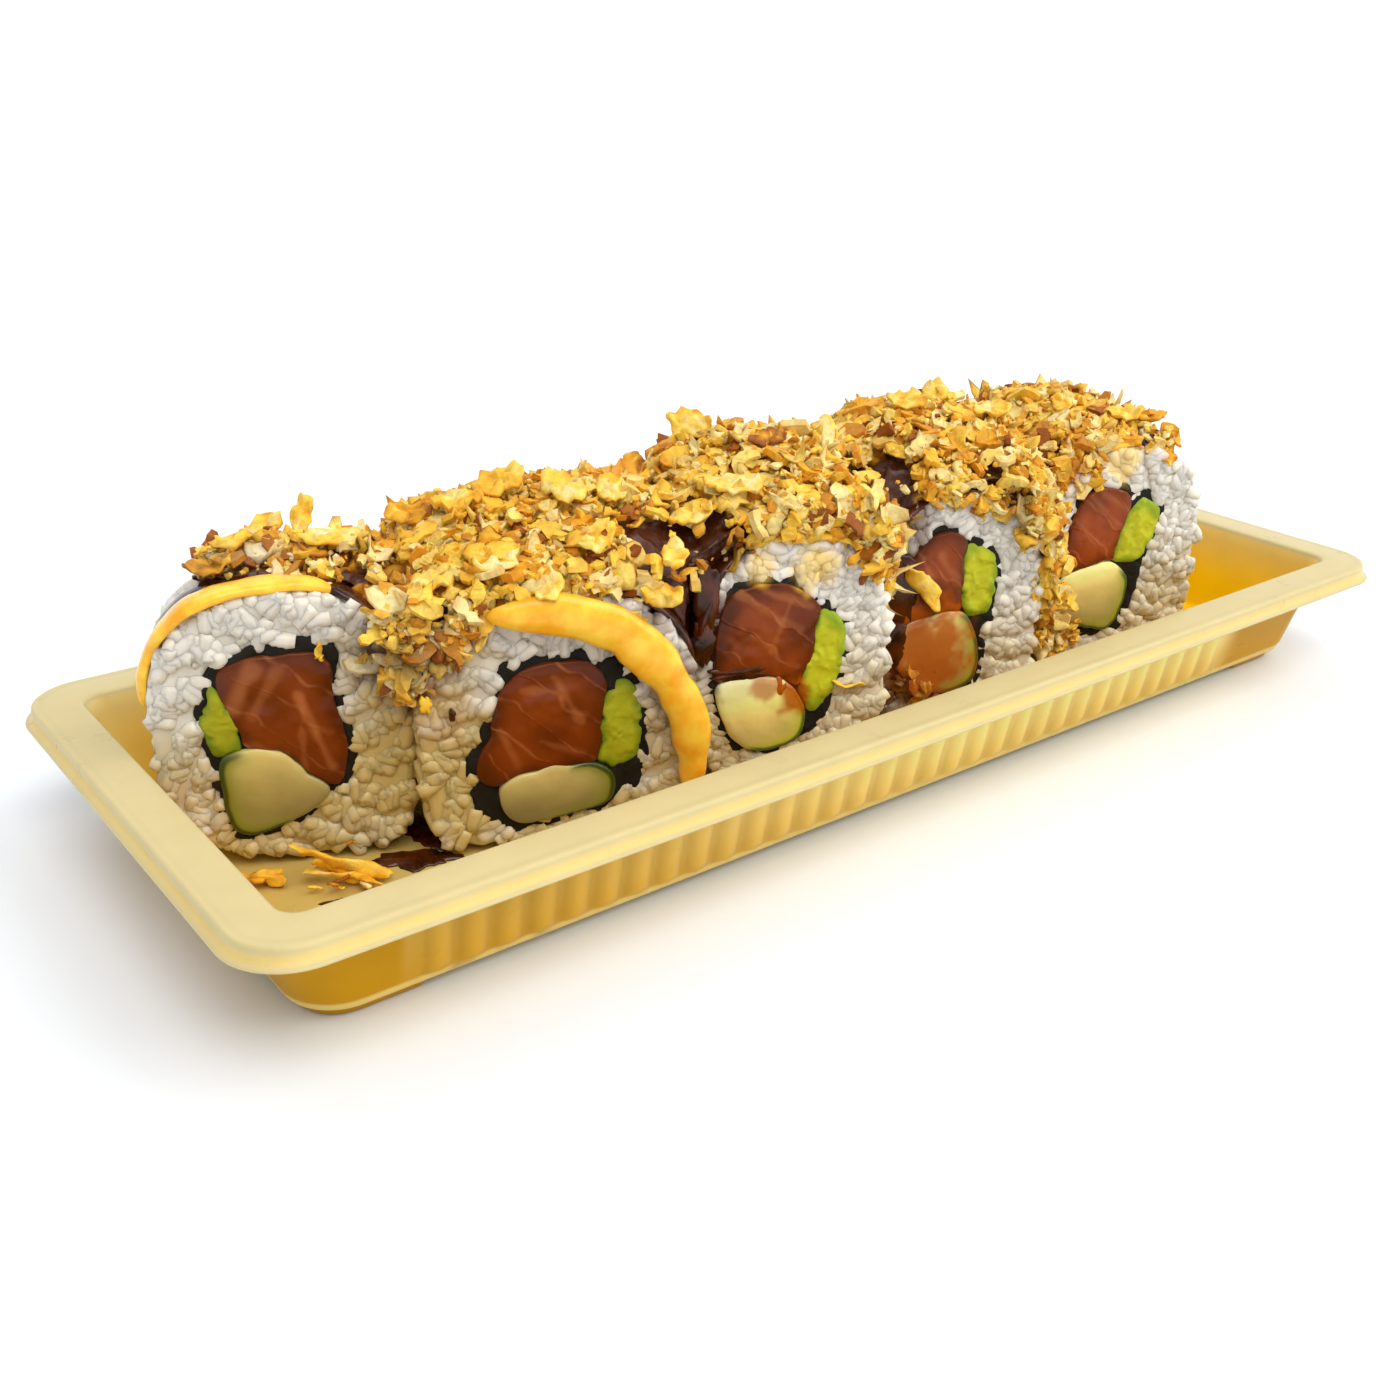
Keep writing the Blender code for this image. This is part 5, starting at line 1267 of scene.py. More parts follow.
def sauce_strip(middles, outs, sides, widths, heights, rows=9, seed=1):
    """A strip of thick sauce: at each place along it an arc from side to side, raised outward by a power of
    sine, with a flat underside sunk a little, widths by noise and rounded ends."""
    count = len(middles)
    angles = np.linspace(0.0, math.pi, rows)
    share = np.linspace(0.0, 1.0, count)
    ends = np.sqrt(np.clip(1.0 - np.abs(2.0 * share - 1.0) ** 6, 0.02, 1.0))
    wave = noise(middles, 3.0 * MM, seed)
    width = (widths * ends * (1.0 + 0.16 * wave))[:, None, None] * MM / 2.0
    height = (heights * ends * (1.0 + 0.12 * wave))[:, None, None] * MM
    arc = middles[:, None, :] + sides[:, None, :] * width * np.cos(angles)[None, :, None]
    arc = arc + outs[:, None, :] * height * (np.sin(angles) ** 0.7)[None, :, None]
    under = middles[:, None, :] + sides[:, None, :] * width * np.linspace(-0.92, 0.92, 4)[None, :, None]
    under = under - outs[:, None, :] * 0.25 * MM
    rings = np.concatenate([arc, under], axis=1)
    return rings + wobble(rings, 2.0 * MM, 0.12 * MM, seed)


def smooth_path(points, count):
    """A curve through few points: their straight lines sampled evenly, then averaged with neighbours."""
    points = np.array(points, float)
    step = np.concatenate([[0.0], np.cumsum(np.linalg.norm(np.diff(points, axis=0), axis=1))])
    even = np.linspace(0.0, step[-1], count)
    path = np.stack([np.interp(even, step, line) for line in points.T], axis=-1)
    for _ in range(count // 6):
        path[1:-1] = (path[:-2] + 2.0 * path[1:-1] + path[2:]) / 4.0
    return path


def face_strip(roll, path, width, height, seed, front=-1.1):
    """Sauce down a cut face: a strip along u, w points that stands out towards -t."""
    flat = smooth_path(path, 60)
    middles = place(roll, flat[:, 0], np.full(len(flat), front), flat[:, 1])
    along = np.gradient(middles, axis=0)
    along /= np.linalg.norm(along, axis=1)[:, None]
    out = (place(roll, 0.0, -1.0, 0.0) - place(roll, 0.0, 0.0, 0.0)) / MM
    outs = np.broadcast_to(out, middles.shape)
    widths = np.interp(np.linspace(0.0, 1.0, 60), np.linspace(0.0, 1.0, len(width)), width)
    return loft(sauce_strip(middles, outs, np.cross(outs, along), widths, np.full(60, height), seed=seed))


def shoulder_strip(roll, turns, back, width, height, lift, seed):
    """Sauce over a roll's shoulder: a strip along the rice's own outline between two angles, at a depth."""
    middle = np.array([(roll.left + roll.right) / 2.0, roll.height / 2.0])
    angles = np.radians(np.linspace(*turns, 60))
    reach = rice_radius(roll, middle, angles) + lift
    flat = middle + np.stack([np.cos(angles), np.sin(angles)], axis=-1) * reach[:, None]
    depth = back + 0.5 * np.sin(np.linspace(0.0, 9.0, 60))
    middles = place(roll, flat[:, 0], depth, flat[:, 1])
    along = np.gradient(middles, axis=0)
    along /= np.linalg.norm(along, axis=1)[:, None]
    back_way = np.broadcast_to((place(roll, 0.0, 1.0, 0.0) - place(roll, 0.0, 0.0, 0.0)) / MM, middles.shape)
    outs = np.cross(along, back_way)
    outs *= np.sign(np.sum(outs * (middles - place(roll, middle[0], back, middle[1])), axis=1))[:, None]
    widths = np.interp(np.linspace(0.0, 1.0, 60), np.linspace(0.0, 1.0, len(width)), width)
    return loft(sauce_strip(middles, outs, np.cross(outs, along), widths, np.full(60, height), seed=seed))


# Films of sauce over the shoulders: the roll, the turns in degrees that it runs between, its middle's depth
# behind the face, its widths along the way and its thickness in millimetres, and whether it is glaze
FILMS = (
    (0, (150.0, 78.0), 7.5, (3.4, 5.6, 6.0, 4.0), 0.9, True), (0, (72.0, 30.0), 3.4, (3.0, 5.0, 4.0), 0.8, True),
    (1, (100.0, 4.0), 4.4, (4.0, 6.0, 6.4, 5.0), 0.9, True), (2, (178.0, 118.0), 1.6, (3.0, 4.4, 5.0, 4.0), 0.9, True),
    (2, (112.0, 52.0), 1.7, (2.4, 3.4, 2.4, 3.6, 2.0), 0.8, False), (3, (188.0, 108.0), 1.4, (4.0, 6.0, 6.0, 4.0), 1.0, True),
    (3, (78.0, 34.0), 1.3, (2.4, 3.4, 2.6), 0.8, True), (4, (118.0, 84.0), 3.2, (3.0, 5.4, 4.0), 0.9, False),
)

# Drops and pools on the cut faces: the roll, the place on the photograph, half its width and height in
# millimetres, its thickness and its kind
DROPS = (
    (2, 706, 598, 2.0, 5.0, 0.8, "glaze"), (2, 702, 645, 1.8, 4.0, 0.8, "glaze"), (2, 742, 672, 5.0, 1.5, 0.5, "glaze"),
    (2, 778, 690, 1.3, 2.2, 0.7, "oil"), (3, 900, 590, 3.4, 6.5, 0.8, "glaze"), (3, 893, 645, 2.6, 4.5, 0.9, "glaze"),
    (3, 935, 632, 4.6, 1.8, 0.6, "oil"), (1, 452, 715, 0.45, 0.9, 0.2, "glaze"), (1, 425, 705, 0.8, 1.2, 0.4, "mayonnaise"),
)


def drop(roll, u, w, half_u, half_w, height, seed):
    """A flattened drop on a cut face: rings of an uneven outline, raised by height sqrt(1 - share^2), with
    its underside just inside the food."""
    angles = np.linspace(0.0, 2.0 * math.pi, 40, endpoint=False)
    radius = ragged(np.ones(40), 0.3, seed)
    shares = np.array([0.35, 0.7, 0.9, 1.0, 0.985, 0.93, 0.82, 0.66, 0.48, 0.3, 0.14])
    rises = np.where(np.arange(11) < 4, -0.5, height * np.sqrt(1.0 - np.minimum(shares, 0.999) ** 2))
    across = u + half_u * np.cos(angles) * radius * shares[:, None]
    up = w + half_w * np.sin(angles) * radius * shares[:, None]
    return loft(place(roll, across, -rises[:, None] - 0.2 + 0.0 * across, up))


# Pools on the tray's floor: the place on the photograph, half the length and width in millimetres, the turn
# in degrees and the thickness
POOLS = ((419, 828, 2.4, 6.5, 0, 0.7), (414, 860, 6.5, 2.6, -30, 0.7), (352, 902, 4.0, 1.6, -25, 0.3), (705, 690, 3.0, 2.0, 0, 0.5))


def floor_pool(x, y, half_length, half_width, turn, height, seed):
    """A flat pool on the floor: uneven rings that rise inward by height sqrt(1 - share^2)."""
    half = CAMERA["frame_pixels"] / 2.0
    right, up, back = (np.array(axis) for axis in camera_axes())
    ray = right * (x - half) / CAMERA["focal_pixels"] - up * (y - half) / CAMERA["focal_pixels"] - back
    start = np.array(CAMERA["place"])
    middle = start + ray * (2.5 * MM - start[2]) / ray[2]
    angles = np.linspace(0.0, 2.0 * math.pi, 60, endpoint=False)
    radius = ragged(np.ones(60), 0.35, seed)
    shares = np.array([0.4, 0.8, 1.0, 0.985, 0.94, 0.85, 0.7, 0.5, 0.25])
    rises = np.where(np.arange(9) < 3, -0.3, height * np.sqrt(1.0 - np.minimum(shares, 0.999) ** 2))
    along = half_length * np.cos(angles) * radius * shares[:, None]
    across = half_width * np.sin(angles) * radius * shares[:, None]
    angle = math.radians(turn)
    offset = np.stack([along * math.cos(angle) - across * math.sin(angle),
                       along * math.sin(angle) + across * math.cos(angle), rises[:, None] + 0.0 * along], axis=-1)
    return loft(middle + offset * MM)


def make_sauces(looks):
    """Spicy mayonnaise over the first roll's shoulder and down the second roll's face, and dark glaze."""
    yellow = make_sauce_finish("spicy mayonnaise", looks.mayonnaise_colour[:], linear(244, 170, 28), 0.22, 0.3)
    brown = make_sauce_finish("sweet glaze", linear(86, 36, 8), linear(34, 12, 3), 0.2, 0.0)
    amber = make_sauce_finish("thin sauce", looks.oil_colour[:], linear(150, 66, 14), 0.1, 0.2)
    points, faces = shoulder_strip(ROLLS[0], (166.0, 66.0), 3.0, (3.0, 4.8, 4.8, 4.2), 1.3, 0.1, 2)
    add_piece("mayonnaise_band", points, faces, yellow, replaces=["mayonnaise_1"])
    points, faces = face_strip(ROLLS[1], ((-10.0, 36.0), (0.0, 35.6), (8.0, 32.4), (14.0, 26.0), (17.8, 19.0),
                                          (18.6, 12.5), (18.3, 6.0)), (4.6, 5.8, 6.2, 6.2, 5.8, 5.2, 4.6), 1.9, 4)
    add_piece("mayonnaise_fall", points, faces, yellow, replaces=["mayonnaise_2"])
    for index, (number, turns, back, width, height, dark) in enumerate(FILMS):
        points, faces = shoulder_strip(ROLLS[number], turns, back, width, height, 0.0, 20 + index)
        add_piece("%s_film_%d" % ("glaze" if dark else "mayonnaise", index), points, faces,
                  brown if dark else yellow)
    points, faces = joined([floor_pool(*pool, 70 + index) for index, pool in enumerate(POOLS)])
    add_piece("glaze_pools", points, faces, brown)
    kinds = {"glaze": brown, "oil": amber, "mayonnaise": yellow}
    for index, (number, x, y, half_u, half_w, height, kind) in enumerate(DROPS):
        u, w = on_face(ROLLS[number], x, y)
        points, faces = drop(ROLLS[number], u, w, half_u, half_w, height, 40 + index)
        add_piece("%s_drop_%d" % (kind, index), points, faces, kinds[kind])


# Tray

TRAY_CORNER_STEPS = 14
TRAY_LONG_STEPS = 330
TRAY_SHORT_STEPS = 26
TRAY_BOW = 0.48


def tray_ring(half_x, half_y, corner, height, bow):
    """A rounded rectangle at one height: quarter circles joined by even steps, whose long sides bow out by
    a parabola. height may be a number or one for each point."""
    quarter = np.linspace(0.0, math.pi / 2.0, TRAY_CORNER_STEPS)
    outline = []
    steps = (TRAY_LONG_STEPS, TRAY_SHORT_STEPS, TRAY_LONG_STEPS, TRAY_SHORT_STEPS)
    corners = ((1, 1), (-1, 1), (-1, -1), (1, -1))
    for turn, (sign_x, sign_y) in enumerate(corners):
        angles = quarter + turn * math.pi / 2.0
        arc = np.stack([sign_x * (half_x - corner) + corner * np.cos(angles),
                        sign_y * (half_y - corner) + corner * np.sin(angles)], axis=-1)
        next_x, next_y = corners[(turn + 1) % 4]
        angle = (turn + 1) * math.pi / 2.0
        start = np.array([next_x * (half_x - corner) + corner * math.cos(angle),
                          next_y * (half_y - corner) + corner * math.sin(angle)])
        side = arc[-1] + (start - arc[-1]) * np.linspace(0.0, 1.0, steps[turn] + 1)[1:-1, None]
        outline += [arc, side]
    outline = np.concatenate(outline)
    out = np.maximum(0.0, 1.0 - (outline[:, 0] / half_x) ** 2) * bow * np.abs(outline[:, 1]) / half_y
    outline[:, 1] += np.sign(outline[:, 1]) * out
    return np.column_stack([outline, np.broadcast_to(height, len(outline))])


def make_tray(looks):
    """The moulded tray as one closed sheet: floor, inner wall, rim, skirt and lip, then back under the rim,
    down the ribbed outer wall and across the underside, each as one ring of the same count. Four feet are
    rounded blocks under it."""
    rim_x, rim_y, top = 110.0, 42.35, 19.5
    in_x, in_y = rim_x - 6.8, rim_y - 6.8
    floor, thick, lean = 2.5, 0.8, 3.0
    # The tints paint light and shade on one plastic: pale where light falls on the rim and lip, an orange glow on the
    # inner walls, and darker on the skirt, under the rim, down the outer wall, on the corners and underneath; gold is
    # the corners' painted shade.
    pale, wall, inside = (np.array(c[:]) for c in (looks.rim_colour, looks.wall_colour, looks.inside_glow_colour))
    gold = np.array(looks.corner_shade_colour[:])
    rings, colours = [], []

    def add(half_x, half_y, corner, height, bow, colour):
        rings.append(tray_ring(half_x, half_y, corner, height, bow))
        colours.append(np.broadcast_to(colour, (len(rings[-1]), 3)))

    # The inner floor's darker tint is painted shade.
    bottom = np.array(looks.floor_colour[:])
    for share in np.linspace(0.04, 0.985, 24):
        add((in_x - lean - 1.6) * share, (in_y - lean - 1.6) * share, max(0.3, 5.4 * share), floor, 0.0, bottom)
    # The floor's rounded edge and the inner walls carry the painted orange glow, which fades towards the pale rim
    # higher up, and the inner left wall is painted lighter.
    for angle in np.radians(np.linspace(0.0, 80.0, 6)):
        inset = lean + 1.4 * (1.0 - math.sin(angle)) - 0.2
        add(in_x - inset, in_y - inset, 6.8 - 1.2 * math.sin(angle), floor + 1.4 * (1.0 - math.cos(angle)), 0.0, inside)
    for share in np.linspace(0.12, 0.95, 8):
        inset = lean * (1.0 - share)
        colour = inside + (pale - inside) * smoothstep(0.35, 1.15, share) * 0.7
        add(in_x - inset, in_y - inset, 6.6 - 3.4 * share, floor + (top - floor) * share, TRAY_BOW * share, colour)
        colours[-1] = mixed(colours[-1], pale, 0.4 * smoothstep(-80.0, -100.0, rings[-1][:, 0]))
    for angle in np.radians(np.linspace(0.0, 90.0, 5)):
        add(in_x + 0.7 * (1.0 - math.cos(angle)) - 0.05, in_y + 0.7 * (1.0 - math.cos(angle)) - 0.05, 3.0,
            top - 0.7 * (1.0 - math.sin(angle)), TRAY_BOW, pale)
    add(in_x + 1.6, in_y + 1.6, 3.6, top, TRAY_BOW, pale)
    add(rim_x - 1.9, rim_y - 1.9, 6.4, top, TRAY_BOW, pale)
    # The rim's outer edge is a little darker: painted shade.
    add(rim_x - 1.3, rim_y - 1.3, 6.9, top - 0.12, TRAY_BOW, pale * 0.96)
    for angle in np.radians(np.linspace(0.0, 90.0, 5)):
        add(rim_x - 0.6 + 0.6 * math.sin(angle), rim_y - 0.6 + 0.6 * math.sin(angle), 7.4 + 0.6 * math.sin(angle),
            top - 0.6 * (1.0 - math.cos(angle)), TRAY_BOW, pale)
    # The upright skirt is darker than the rim as painted shade, and the lip is as pale as the rim as painted light.
    skirt = pale * 0.45 + wall * 0.55
    add(rim_x, rim_y, 8.0, top - 1.5, TRAY_BOW, skirt)
    add(rim_x + 0.05, rim_y + 0.05, 8.0, top - 2.0, TRAY_BOW, skirt)
    for angle in np.radians(np.linspace(-90.0, 90.0, 5)):
        out = 0.75 + 0.25 * math.cos(angle)
        add(rim_x + out, rim_y + out, 8.0 + out, top - 2.55 - 0.25 * math.sin(angle), TRAY_BOW, pale)
    # Under the lip and the rim the wall is darker: painted shade.
    add(rim_x - 0.75, rim_y - 0.75, 7.3, top - 2.8, TRAY_BOW, wall * 0.8)
    add(rim_x - 0.9, rim_y - 0.9, 7.1, top - 1.0, TRAY_BOW, wall * 0.7)
    add(in_x + 1.1, in_y + 1.1, 4.0, top - 0.9, TRAY_BOW, wall * 0.7)
    # Down the outer wall: painted shade towards the bottom, at the corners and towards the left end, and a painted
    # highlight and shade across each rib.
    for share in np.linspace(0.94, 0.06, 16):
        height = floor + (top - floor) * share
        inset = lean * (1.0 - share) - thick
        colour = mixed(gold, wall, 0.45 + 0.65 * smoothstep(0.0, 0.5, share))
        add(in_x - inset, in_y - inset, 4.4 + 3.0 * (1.0 - share), height, TRAY_BOW * share, colour)
        x = rings[-1][:, 0]
        straight = (x > -86.0) & (x < 73.0) & (np.abs(rings[-1][:, 1]) > in_y - 6.0)
        phase = (x + 84.0 + looks.rib_pitch / 2.0) % looks.rib_pitch - looks.rib_pitch / 2.0
        bump = np.cos(np.clip(phase / 1.9, -1.0, 1.0) * math.pi / 2.0) ** 0.8
        window = smoothstep(2.4, 4.2, height) * smoothstep(16.4, 14.2, height)
        rings[-1][:, 1] += np.sign(rings[-1][:, 1]) * straight * bump * window * looks.rib_depth
        shade = 1.0 + straight * window * (0.22 * bump - 0.1)
        smooth = 1.0 - smoothstep(-90.0, -84.0, x) * smoothstep(80.0, 73.0, x)
        painted_end_shade = np.maximum(smooth, 0.8 * smoothstep(10.0, -80.0, x))
        colours[-1] = np.minimum(mixed(colours[-1], gold, painted_end_shade) * shade[:, None], 0.9)
    # The underside is darker: painted shade.
    for angle in np.radians(np.linspace(10.0, 90.0, 5)):
        inset = lean - thick + 1.2 * (1.0 - math.cos(angle))
        add(in_x - inset, in_y - inset, 7.4 - 1.2 * (1.0 - math.cos(angle)), floor - thick + 1.5 * (1.0 - math.sin(angle)),
            0.0, wall * 0.86)
    for share in (0.96, 0.6, 0.25):
        add((in_x - lean) * share, (in_y - lean) * share, max(1.0, 5.4 * share), floor - thick, 0.0, wall * 0.8)
    shell = np.stack(rings) * MM
    points, faces = loft(shell)
    tint = with_ends(np.stack(colours), len(rings))
    parts = [(points, faces)]
    tints = [tint]
    for sign_x in (1, -1):
        for sign_y in (1, -1):
            foot = loft(foot_rings(sign_x, sign_y))
            parts.append(foot)
            # The feet are darker than the corners: painted shade.
            tints.append(np.broadcast_to(np.array(looks.corner_shade_colour[:]) * 0.9, foot[0].shape))
    points, faces = joined(parts)
    tint = np.concatenate(tints)
    stain = smoothstep(-0.2, 0.5, noise(points, 6.0 * MM, 3) + 0.5 * noise(points, 2.0 * MM, 5))
    near = 1.0 - smoothstep(6.0, 17.0, np.hypot(points[:, 0] / MM + 76.0, points[:, 1] / MM + 27.0))
    low = (points[:, 2] < 3.2 * MM) & (points[:, 2] > 2.3 * MM)
    tint = mixed(tint, linear(150, 96, 44), stain * near * low * 0.75)
    add_piece("moulded_tray", points, faces, make_plastic(), tint, replaces=["tray"])


def foot_rings(sign_x, sign_y):
    """One foot: rings of a rounded outline from just inside the sheet down to the table, drawn in by a
    quarter circle at the lower edge."""
    low, high = np.array([84.0, 20.0]), np.array([99.6, 31.9])
    radii = (1.5, 6.0, 1.5, 1.5)
    rings = []
    for height, inset in ((2.1, -0.1), (1.4, 0.15), (0.8, 0.35), (0.35, 0.55), (0.1, 0.85), (0.0, 1.3)):
        outline = []
        for turn, (x, y, radius) in enumerate(((high[0], high[1], 6.0), (low[0], high[1], 1.5),
                                               (low[0], low[1], 1.5), (high[0], low[1], 1.5))):
            angles = np.linspace(0.0, math.pi / 2.0, 8) + turn * math.pi / 2.0
            side_x, side_y = (1, 1, -1, -1)[(turn + 0) % 4 if turn in (0, 3) else 2], (1 if turn in (0, 1) else -1)
            side_x = 1 if turn in (0, 3) else -1
            reach = radius - inset if radius > 2.0 else max(0.3, radius - inset * 0.6)
            middle_x = x - side_x * (reach + inset)
            middle_y = y - side_y * (reach + inset)
            outline.append(np.stack([middle_x + reach * np.cos(angles), middle_y + reach * np.sin(angles)], axis=-1))
        flat = np.concatenate(outline)
        rings.append(np.column_stack([flat[:, 0] * sign_x, flat[:, 1] * sign_y, np.full(len(flat), height)]))
    return np.stack(rings) * MM


# Loose food on the tray's floor

# Strands that fell on the floor, and a few on the cut faces: the ends in millimetres from the model's own
# origin, the width, and the tone from 0 for pale to 3 for brown
FLOOR_STRANDS = (
    ((-89.4, -2.6, 8.2), (-79.2, -11.6, 4.2), 2.4, 1.3, 1), ((-87.6, -5.4, 6.0), (-78.0, -10.4, 3.6), 1.9, 1.6, 1),
    ((-85.0, -6.0, 4.6), (-80.6, -13.0, 3.6), 1.6, 1.9, 1), ((-88.6, -4.4, 4.4), (-82.0, -10.0, 4.0), 1.8, 1.0, 1),
    ((-95.0, 0.8, 4.4), (-91.0, -4.4, 4.2), 1.9, 1.5, 2), ((-94.0, -1.8, 4.0), (-90.6, -2.2, 5.0), 1.4, 1.9, 2),
)
FACE_STRANDS = (
    (3, (908, 566), (940, 610), -1.7, 3.2, 1.2), (3, (1051, 535), (1052, 588), 0.2, 1.7, 1.0),
    (2, (832, 680), (866, 686), -0.7, 1.1, 1.0), (3, (1046, 560), (1060, 606), 0.4, 1.5, 1.4),
    (1, (398, 668), (410, 704), -0.3, 1.7, 1.4), (1, (440, 640), (470, 660), -0.3, 1.6, 0.8),
    (4, (1092, 470), (1106, 500), -0.3, 1.6, 1.2), (0, (318, 642), (322, 660), -0.4, 1.6, 1.6),
)


def strand(start, end, width, tone, looks, seed):
    """One thin ribbon between two world points: flattened rings along a line bent by noise."""
    share = np.linspace(0.0, 1.0, 26)[:, None]
    line = start + (end - start) * share
    line = line + wobble(line, 3.2 * MM, 0.9 * MM, seed) * np.sin(math.pi * share) ** 0.5
    along = np.gradient(line, axis=0)
    along /= np.linalg.norm(along, axis=1)[:, None]
    twist = seed + 2.2 * share
    side = np.cross(along, [0.0, 0.0, 1.0])
    side /= np.linalg.norm(side, axis=1)[:, None]
    lift = np.cross(side, along)
    flat = side * np.cos(twist) + lift * np.sin(twist)
    thin = np.cross(along, flat)
    angles = np.linspace(0.0, 2.0 * math.pi, 10, endpoint=False)
    ends = (np.clip(1.0 - np.abs(2.0 * share - 1.0) ** 5, 0.05, 1.0)) ** 0.5 * width / 2.0 * MM
    rings = line[:, None, :] + (flat * ends)[:, None, :] * np.cos(angles)[:, None] + (
        thin * ends * 0.34)[:, None, :] * np.sin(angles)[:, None]
    rings = rings + wobble(rings, 1.0 * MM, 0.22 * MM, seed)
    level = tone + 0.8 * noise(rings, 1.6 * MM, seed)
    points, faces = loft(rings)
    return points, faces, with_ends(toned(looks, level), len(rings))


def make_fallen(looks, sauces):
    """Strands and crumbs that fell on the floor, each heap in the place of its CAD solid, and strands that
    hang before the cut faces."""
    finish = make_onion_finish()
    rng = np.random.default_rng(31)
    shapes, faces = strip_shapes(rng)
    groups = {number: [] for number in (1, 2, 3, 4)}
    for start, end, width, tone, number in FLOOR_STRANDS:
        groups[number].append(strand(np.array(start) * MM, np.array(end) * MM, width, tone, looks, len(groups[number])))
    for number, strands in groups.items():
        node = "fallen_onion_%d" % number
        low, high = (np.array(corner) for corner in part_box(node))
        count = (10, 5, 26, 30)[number - 1]
        spots = low + (high - low) * rng.uniform(0.1, 0.9, (count, 3)) ** np.array([1.0, 1.0, 1.3])
        normals = np.broadcast_to(np.array([0.0, 0.0, 1.0]), spots.shape)
        sizes = rng.uniform(1.8, 4.6, count)[:, None] * np.ones(3)
        axes = turned(normals, rng, np.abs(rng.normal(0.0, 0.4, count)))
        curls, curl_faces = copies(shapes, faces, rng.integers(0, len(shapes), count), sizes * MM, axes, spots)
        curls[..., 2] = np.maximum(curls[..., 2], 2.7 * MM)
        colours = onion_colours(count, looks, rng, (0.05, 0.35, 0.42, 0.18))[:, None, :] * np.ones(curls.shape)
        points, all_faces = joined([(curls.reshape(-1, 3), curl_faces)] + [each[:2] for each in strands])
        tint = np.concatenate([colours.reshape(-1, 3)] + [each[2] for each in strands])
        tint, wet = soaked(points, tint, np.zeros(len(points)), sauces, 0.6)
        add_piece("fallen_strands_%d" % number, points, all_faces, finish, tint, wet, replaces=[node])
    parts, tints = [], []
    for index, (number, first, last, t, width, tone) in enumerate(FACE_STRANDS):
        roll = ROLLS[number]
        ends = [place(roll, u, t, w) for u, w in (on_face(roll, *first, t), on_face(roll, *last, t))]
        points, faces_here, tint = strand(ends[0], ends[1], width, tone, looks, 60 + index)
        parts.append((points, faces_here))
        tints.append(tint)
    points, all_faces = joined(parts)
    add_piece("hanging_strands", points, all_faces, finish, np.concatenate(tints),
              np.zeros(len(points)))


# Stage

def make_stage(looks):
    """A pale floor that curves up behind, three soft lights, even light all round, and the camera."""
    across = np.linspace(-12.0, 12.0, 25)
    turn = np.linspace(0.0, math.pi / 2.0, 14)
    along = np.concatenate([np.linspace(-12.0, 1.4, 12), 1.5 + 0.8 * np.sin(turn), [2.3, 2.3]])
    height = np.concatenate([np.zeros(12), 0.8 * (1.0 - np.cos(turn)), [1.6, 3.2]])
    x, y = np.meshgrid(across, along, indexing="ij")
    turned_x = x * math.cos(0.66) + y * math.sin(0.66)
    turned_y = -x * math.sin(0.66) + y * math.cos(0.66)
    points = np.stack([turned_x, turned_y, np.broadcast_to(height, x.shape)], axis=-1)
    index = np.arange(x.size).reshape(x.shape)
    faces = np.stack([index[:-1, :-1], index[1:, :-1], index[1:, 1:], index[:-1, 1:]], axis=-1).reshape(-1, 4)
    mesh = bpy.data.meshes.new("studio_floor")
    mesh.from_pydata(points.reshape(-1, 3).tolist(), [], faces.tolist())
    mesh.shade_smooth()
    graph = Graph("studio floor", Roughness=0.7)
    fine = graph.speckle(3.0)
    colour = np.array(looks.floor_colour[:])
    graph.feed(Base_Color=graph.blend(fine, tuple(colour * 0.99), tuple(colour)))
    mesh.materials.append(graph.material)
    floor = bpy.data.objects.new("studio_floor", mesh)
    bpy.context.scene.collection.objects.link(floor)
    for name, aim, spread, power, colour in (
            ("key_light", (0.18, 0.6, -0.95), 40.0, looks.key_power, (1.0, 0.955, 0.875)),
            ("fill_light", (-0.75, 0.5, -0.7), 50.0, looks.fill_power, (1.0, 0.955, 0.875)),
            ("back_light", (-0.1, -0.8, -0.8), 50.0, looks.fill_power * 0.5, (1.0, 0.97, 0.9))):
        light = bpy.data.lights.new(name, "SUN")
        light.angle = math.radians(spread)
        light.energy = power
        light.color = colour
        thing = bpy.data.objects.new(name, light)
        thing.rotation_euler = Vector(aim).to_track_quat("-Z", "Y").to_euler()
        bpy.context.scene.collection.objects.link(thing)
    world = bpy.data.worlds.new("studio")
    world.use_nodes = True
    background = world.node_tree.nodes["Background"]
    background.inputs["Color"].default_value = (1.0, 0.965, 0.9, 1.0)
    background.inputs["Strength"].default_value = looks.sky_strength
    bpy.context.scene.world = world
    bpy.context.scene.view_settings.view_transform = "Standard"
    make_camera()


def camera_axes():
    """The camera's own right, up and back directions: it looks down and to the right of +Y, turned a little
    about its own axis."""
    yaw, pitch, roll = CAMERA["yaw"], CAMERA["pitch"], CAMERA["roll"]
    forward = Vector((math.sin(yaw) * math.cos(pitch), math.cos(yaw) * math.cos(pitch), -math.sin(pitch)))
    right = forward.cross(Vector((0.0, 0.0, 1.0))).normalized()
    up = right.cross(forward)
    leaned_right = math.cos(roll) * right + math.sin(roll) * up
    leaned_up = math.cos(roll) * up - math.sin(roll) * right
    return leaned_right, leaned_up, -forward


def make_camera():
    """The photograph's camera."""
    data = bpy.data.cameras.new("photo_camera")
    data.sensor_width = 36.0
    data.lens = CAMERA["focal_pixels"] * 36.0 / CAMERA["frame_pixels"]
    data.clip_start = 0.01
    camera = bpy.data.objects.new("photo_camera", data)
    camera.matrix_world = Matrix.Translation(CAMERA["place"]) @ Matrix(camera_axes()).transposed().to_4x4()
    bpy.context.scene.collection.objects.link(camera)
    bpy.context.scene.camera = camera


# Operators and panel

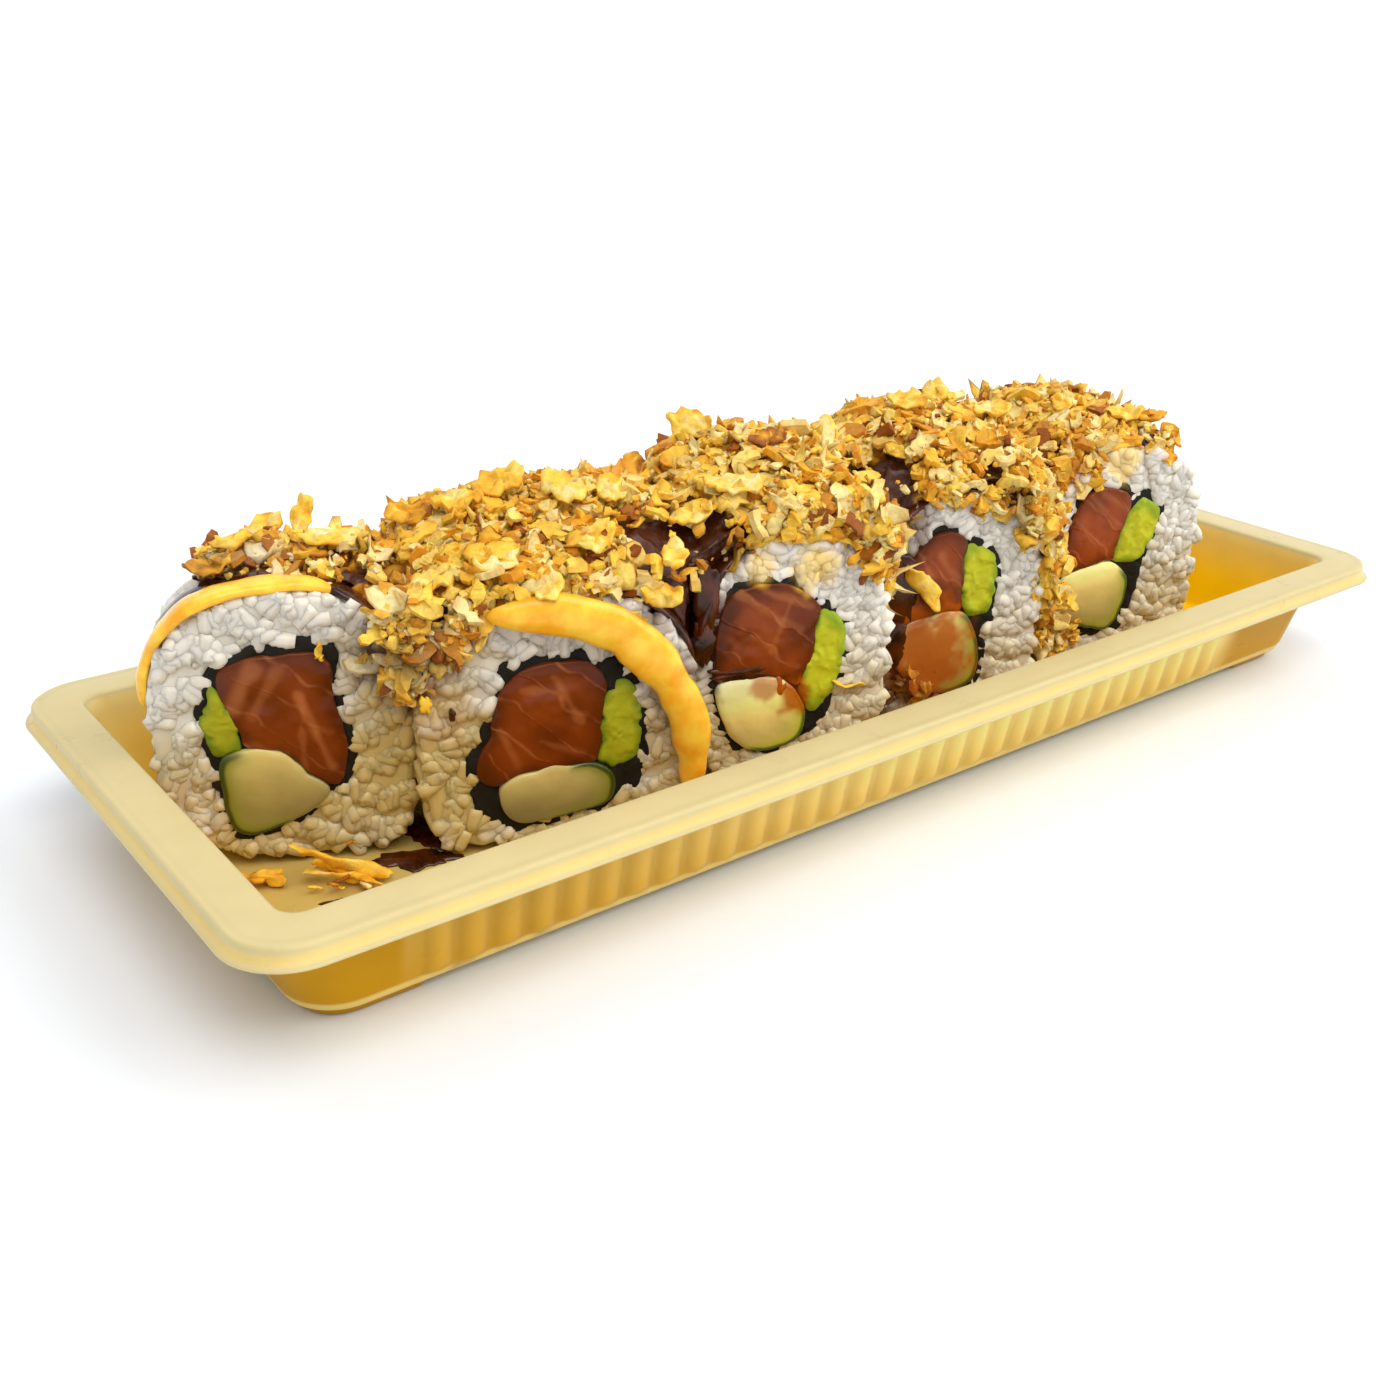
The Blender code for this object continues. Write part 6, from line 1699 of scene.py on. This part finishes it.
class DressStep(bpy.types.Operator):
    """Adds one group of pieces to the scene."""
    bl_options = {"REGISTER", "UNDO"}


class SUSHI_OT_tray(DressStep):
    """Replaces the plain tray by a moulded one with ribs, rim and feet"""
    bl_idname = "sushi.tray"
    bl_label = "Moulded tray"

    def execute(self, context):
        make_tray(context.scene.sushi_tray)
        return {"FINISHED"}


class SUSHI_OT_rice(DressStep):
    """Replaces the plain rice of every roll by a bed with real grains"""
    bl_idname = "sushi.rice"
    bl_label = "Rice"

    def execute(self, context):
        make_rice(context.scene.sushi_rice, context.scene.sushi_sauces)
        return {"FINISHED"}


class SUSHI_OT_fillings(DressStep):
    """Replaces salmon, avocado, cucumber and nori by finished pieces"""
    bl_idname = "sushi.fillings"
    bl_label = "Fillings"

    def execute(self, context):
        make_fillings(context.scene.sushi_fillings, context.scene.sushi_sauces)
        return {"FINISHED"}


class SUSHI_OT_sauces(DressStep):
    """Adds the spicy mayonnaise and the dark glaze"""
    bl_idname = "sushi.sauces"
    bl_label = "Sauces"

    def execute(self, context):
        make_sauces(context.scene.sushi_sauces)
        return {"FINISHED"}


class SUSHI_OT_onion(DressStep):
    """Replaces the plain heap by crumbs, strips and flakes of fried onion"""
    bl_idname = "sushi.onion"
    bl_label = "Crispy onion"

    def execute(self, context):
        make_onion(context.scene.sushi_onion, context.scene.sushi_sauces)
        return {"FINISHED"}


class SUSHI_OT_fallen(DressStep):
    """Adds the strands and crumbs that fell on the tray's floor"""
    bl_idname = "sushi.fallen"
    bl_label = "Fallen onion"

    def execute(self, context):
        make_fallen(context.scene.sushi_onion, context.scene.sushi_sauces)
        return {"FINISHED"}


class SUSHI_OT_stage(DressStep):
    """Adds the floor, the lights and the camera"""
    bl_idname = "sushi.stage"
    bl_label = "Stage"

    def execute(self, context):
        make_stage(context.scene.sushi_stage)
        return {"FINISHED"}


STEPS = (SUSHI_OT_tray, SUSHI_OT_rice, SUSHI_OT_fillings, SUSHI_OT_sauces, SUSHI_OT_onion, SUSHI_OT_fallen,
         SUSHI_OT_stage)
SETTINGS = {"sushi_tray": TrayLooks, "sushi_rice": RiceLooks, "sushi_fillings": FillingLooks,
            "sushi_sauces": SauceLooks, "sushi_onion": OnionLooks, "sushi_stage": StageLooks}


class SUSHI_PT_panel(bpy.types.Panel):
    """Lists the steps and their settings in the sidebar"""
    bl_idname = "SUSHI_PT_panel"
    bl_label = "Sushi tray"
    bl_space_type = "VIEW_3D"
    bl_region_type = "UI"
    bl_category = "Sushi tray"

    def draw(self, context):
        for step in STEPS:
            self.layout.operator(step.bl_idname)
        for name, group in SETTINGS.items():
            box = self.layout.box()
            for key in group.__annotations__:
                box.prop(getattr(context.scene, name), key)


def register():
    """Registers the settings, the steps and the panel."""
    for group in SETTINGS.values():
        bpy.utils.register_class(group)
    for step in STEPS + (SUSHI_PT_panel,):
        bpy.utils.register_class(step)
    for name, group in SETTINGS.items():
        setattr(bpy.types.Scene, name, PointerProperty(type=group))


def unregister():
    """Takes back what register did."""
    for name in SETTINGS:
        delattr(bpy.types.Scene, name)
    for step in (SUSHI_PT_panel,) + STEPS[::-1]:
        bpy.utils.unregister_class(step)
    for group in SETTINGS.values():
        bpy.utils.unregister_class(group)


def main():
    """Runs every step in order."""
    register()
    for step in STEPS:
        group, name = step.bl_idname.split(".")
        getattr(getattr(bpy.ops, group), name)()


if __name__ == "__main__":
    main()
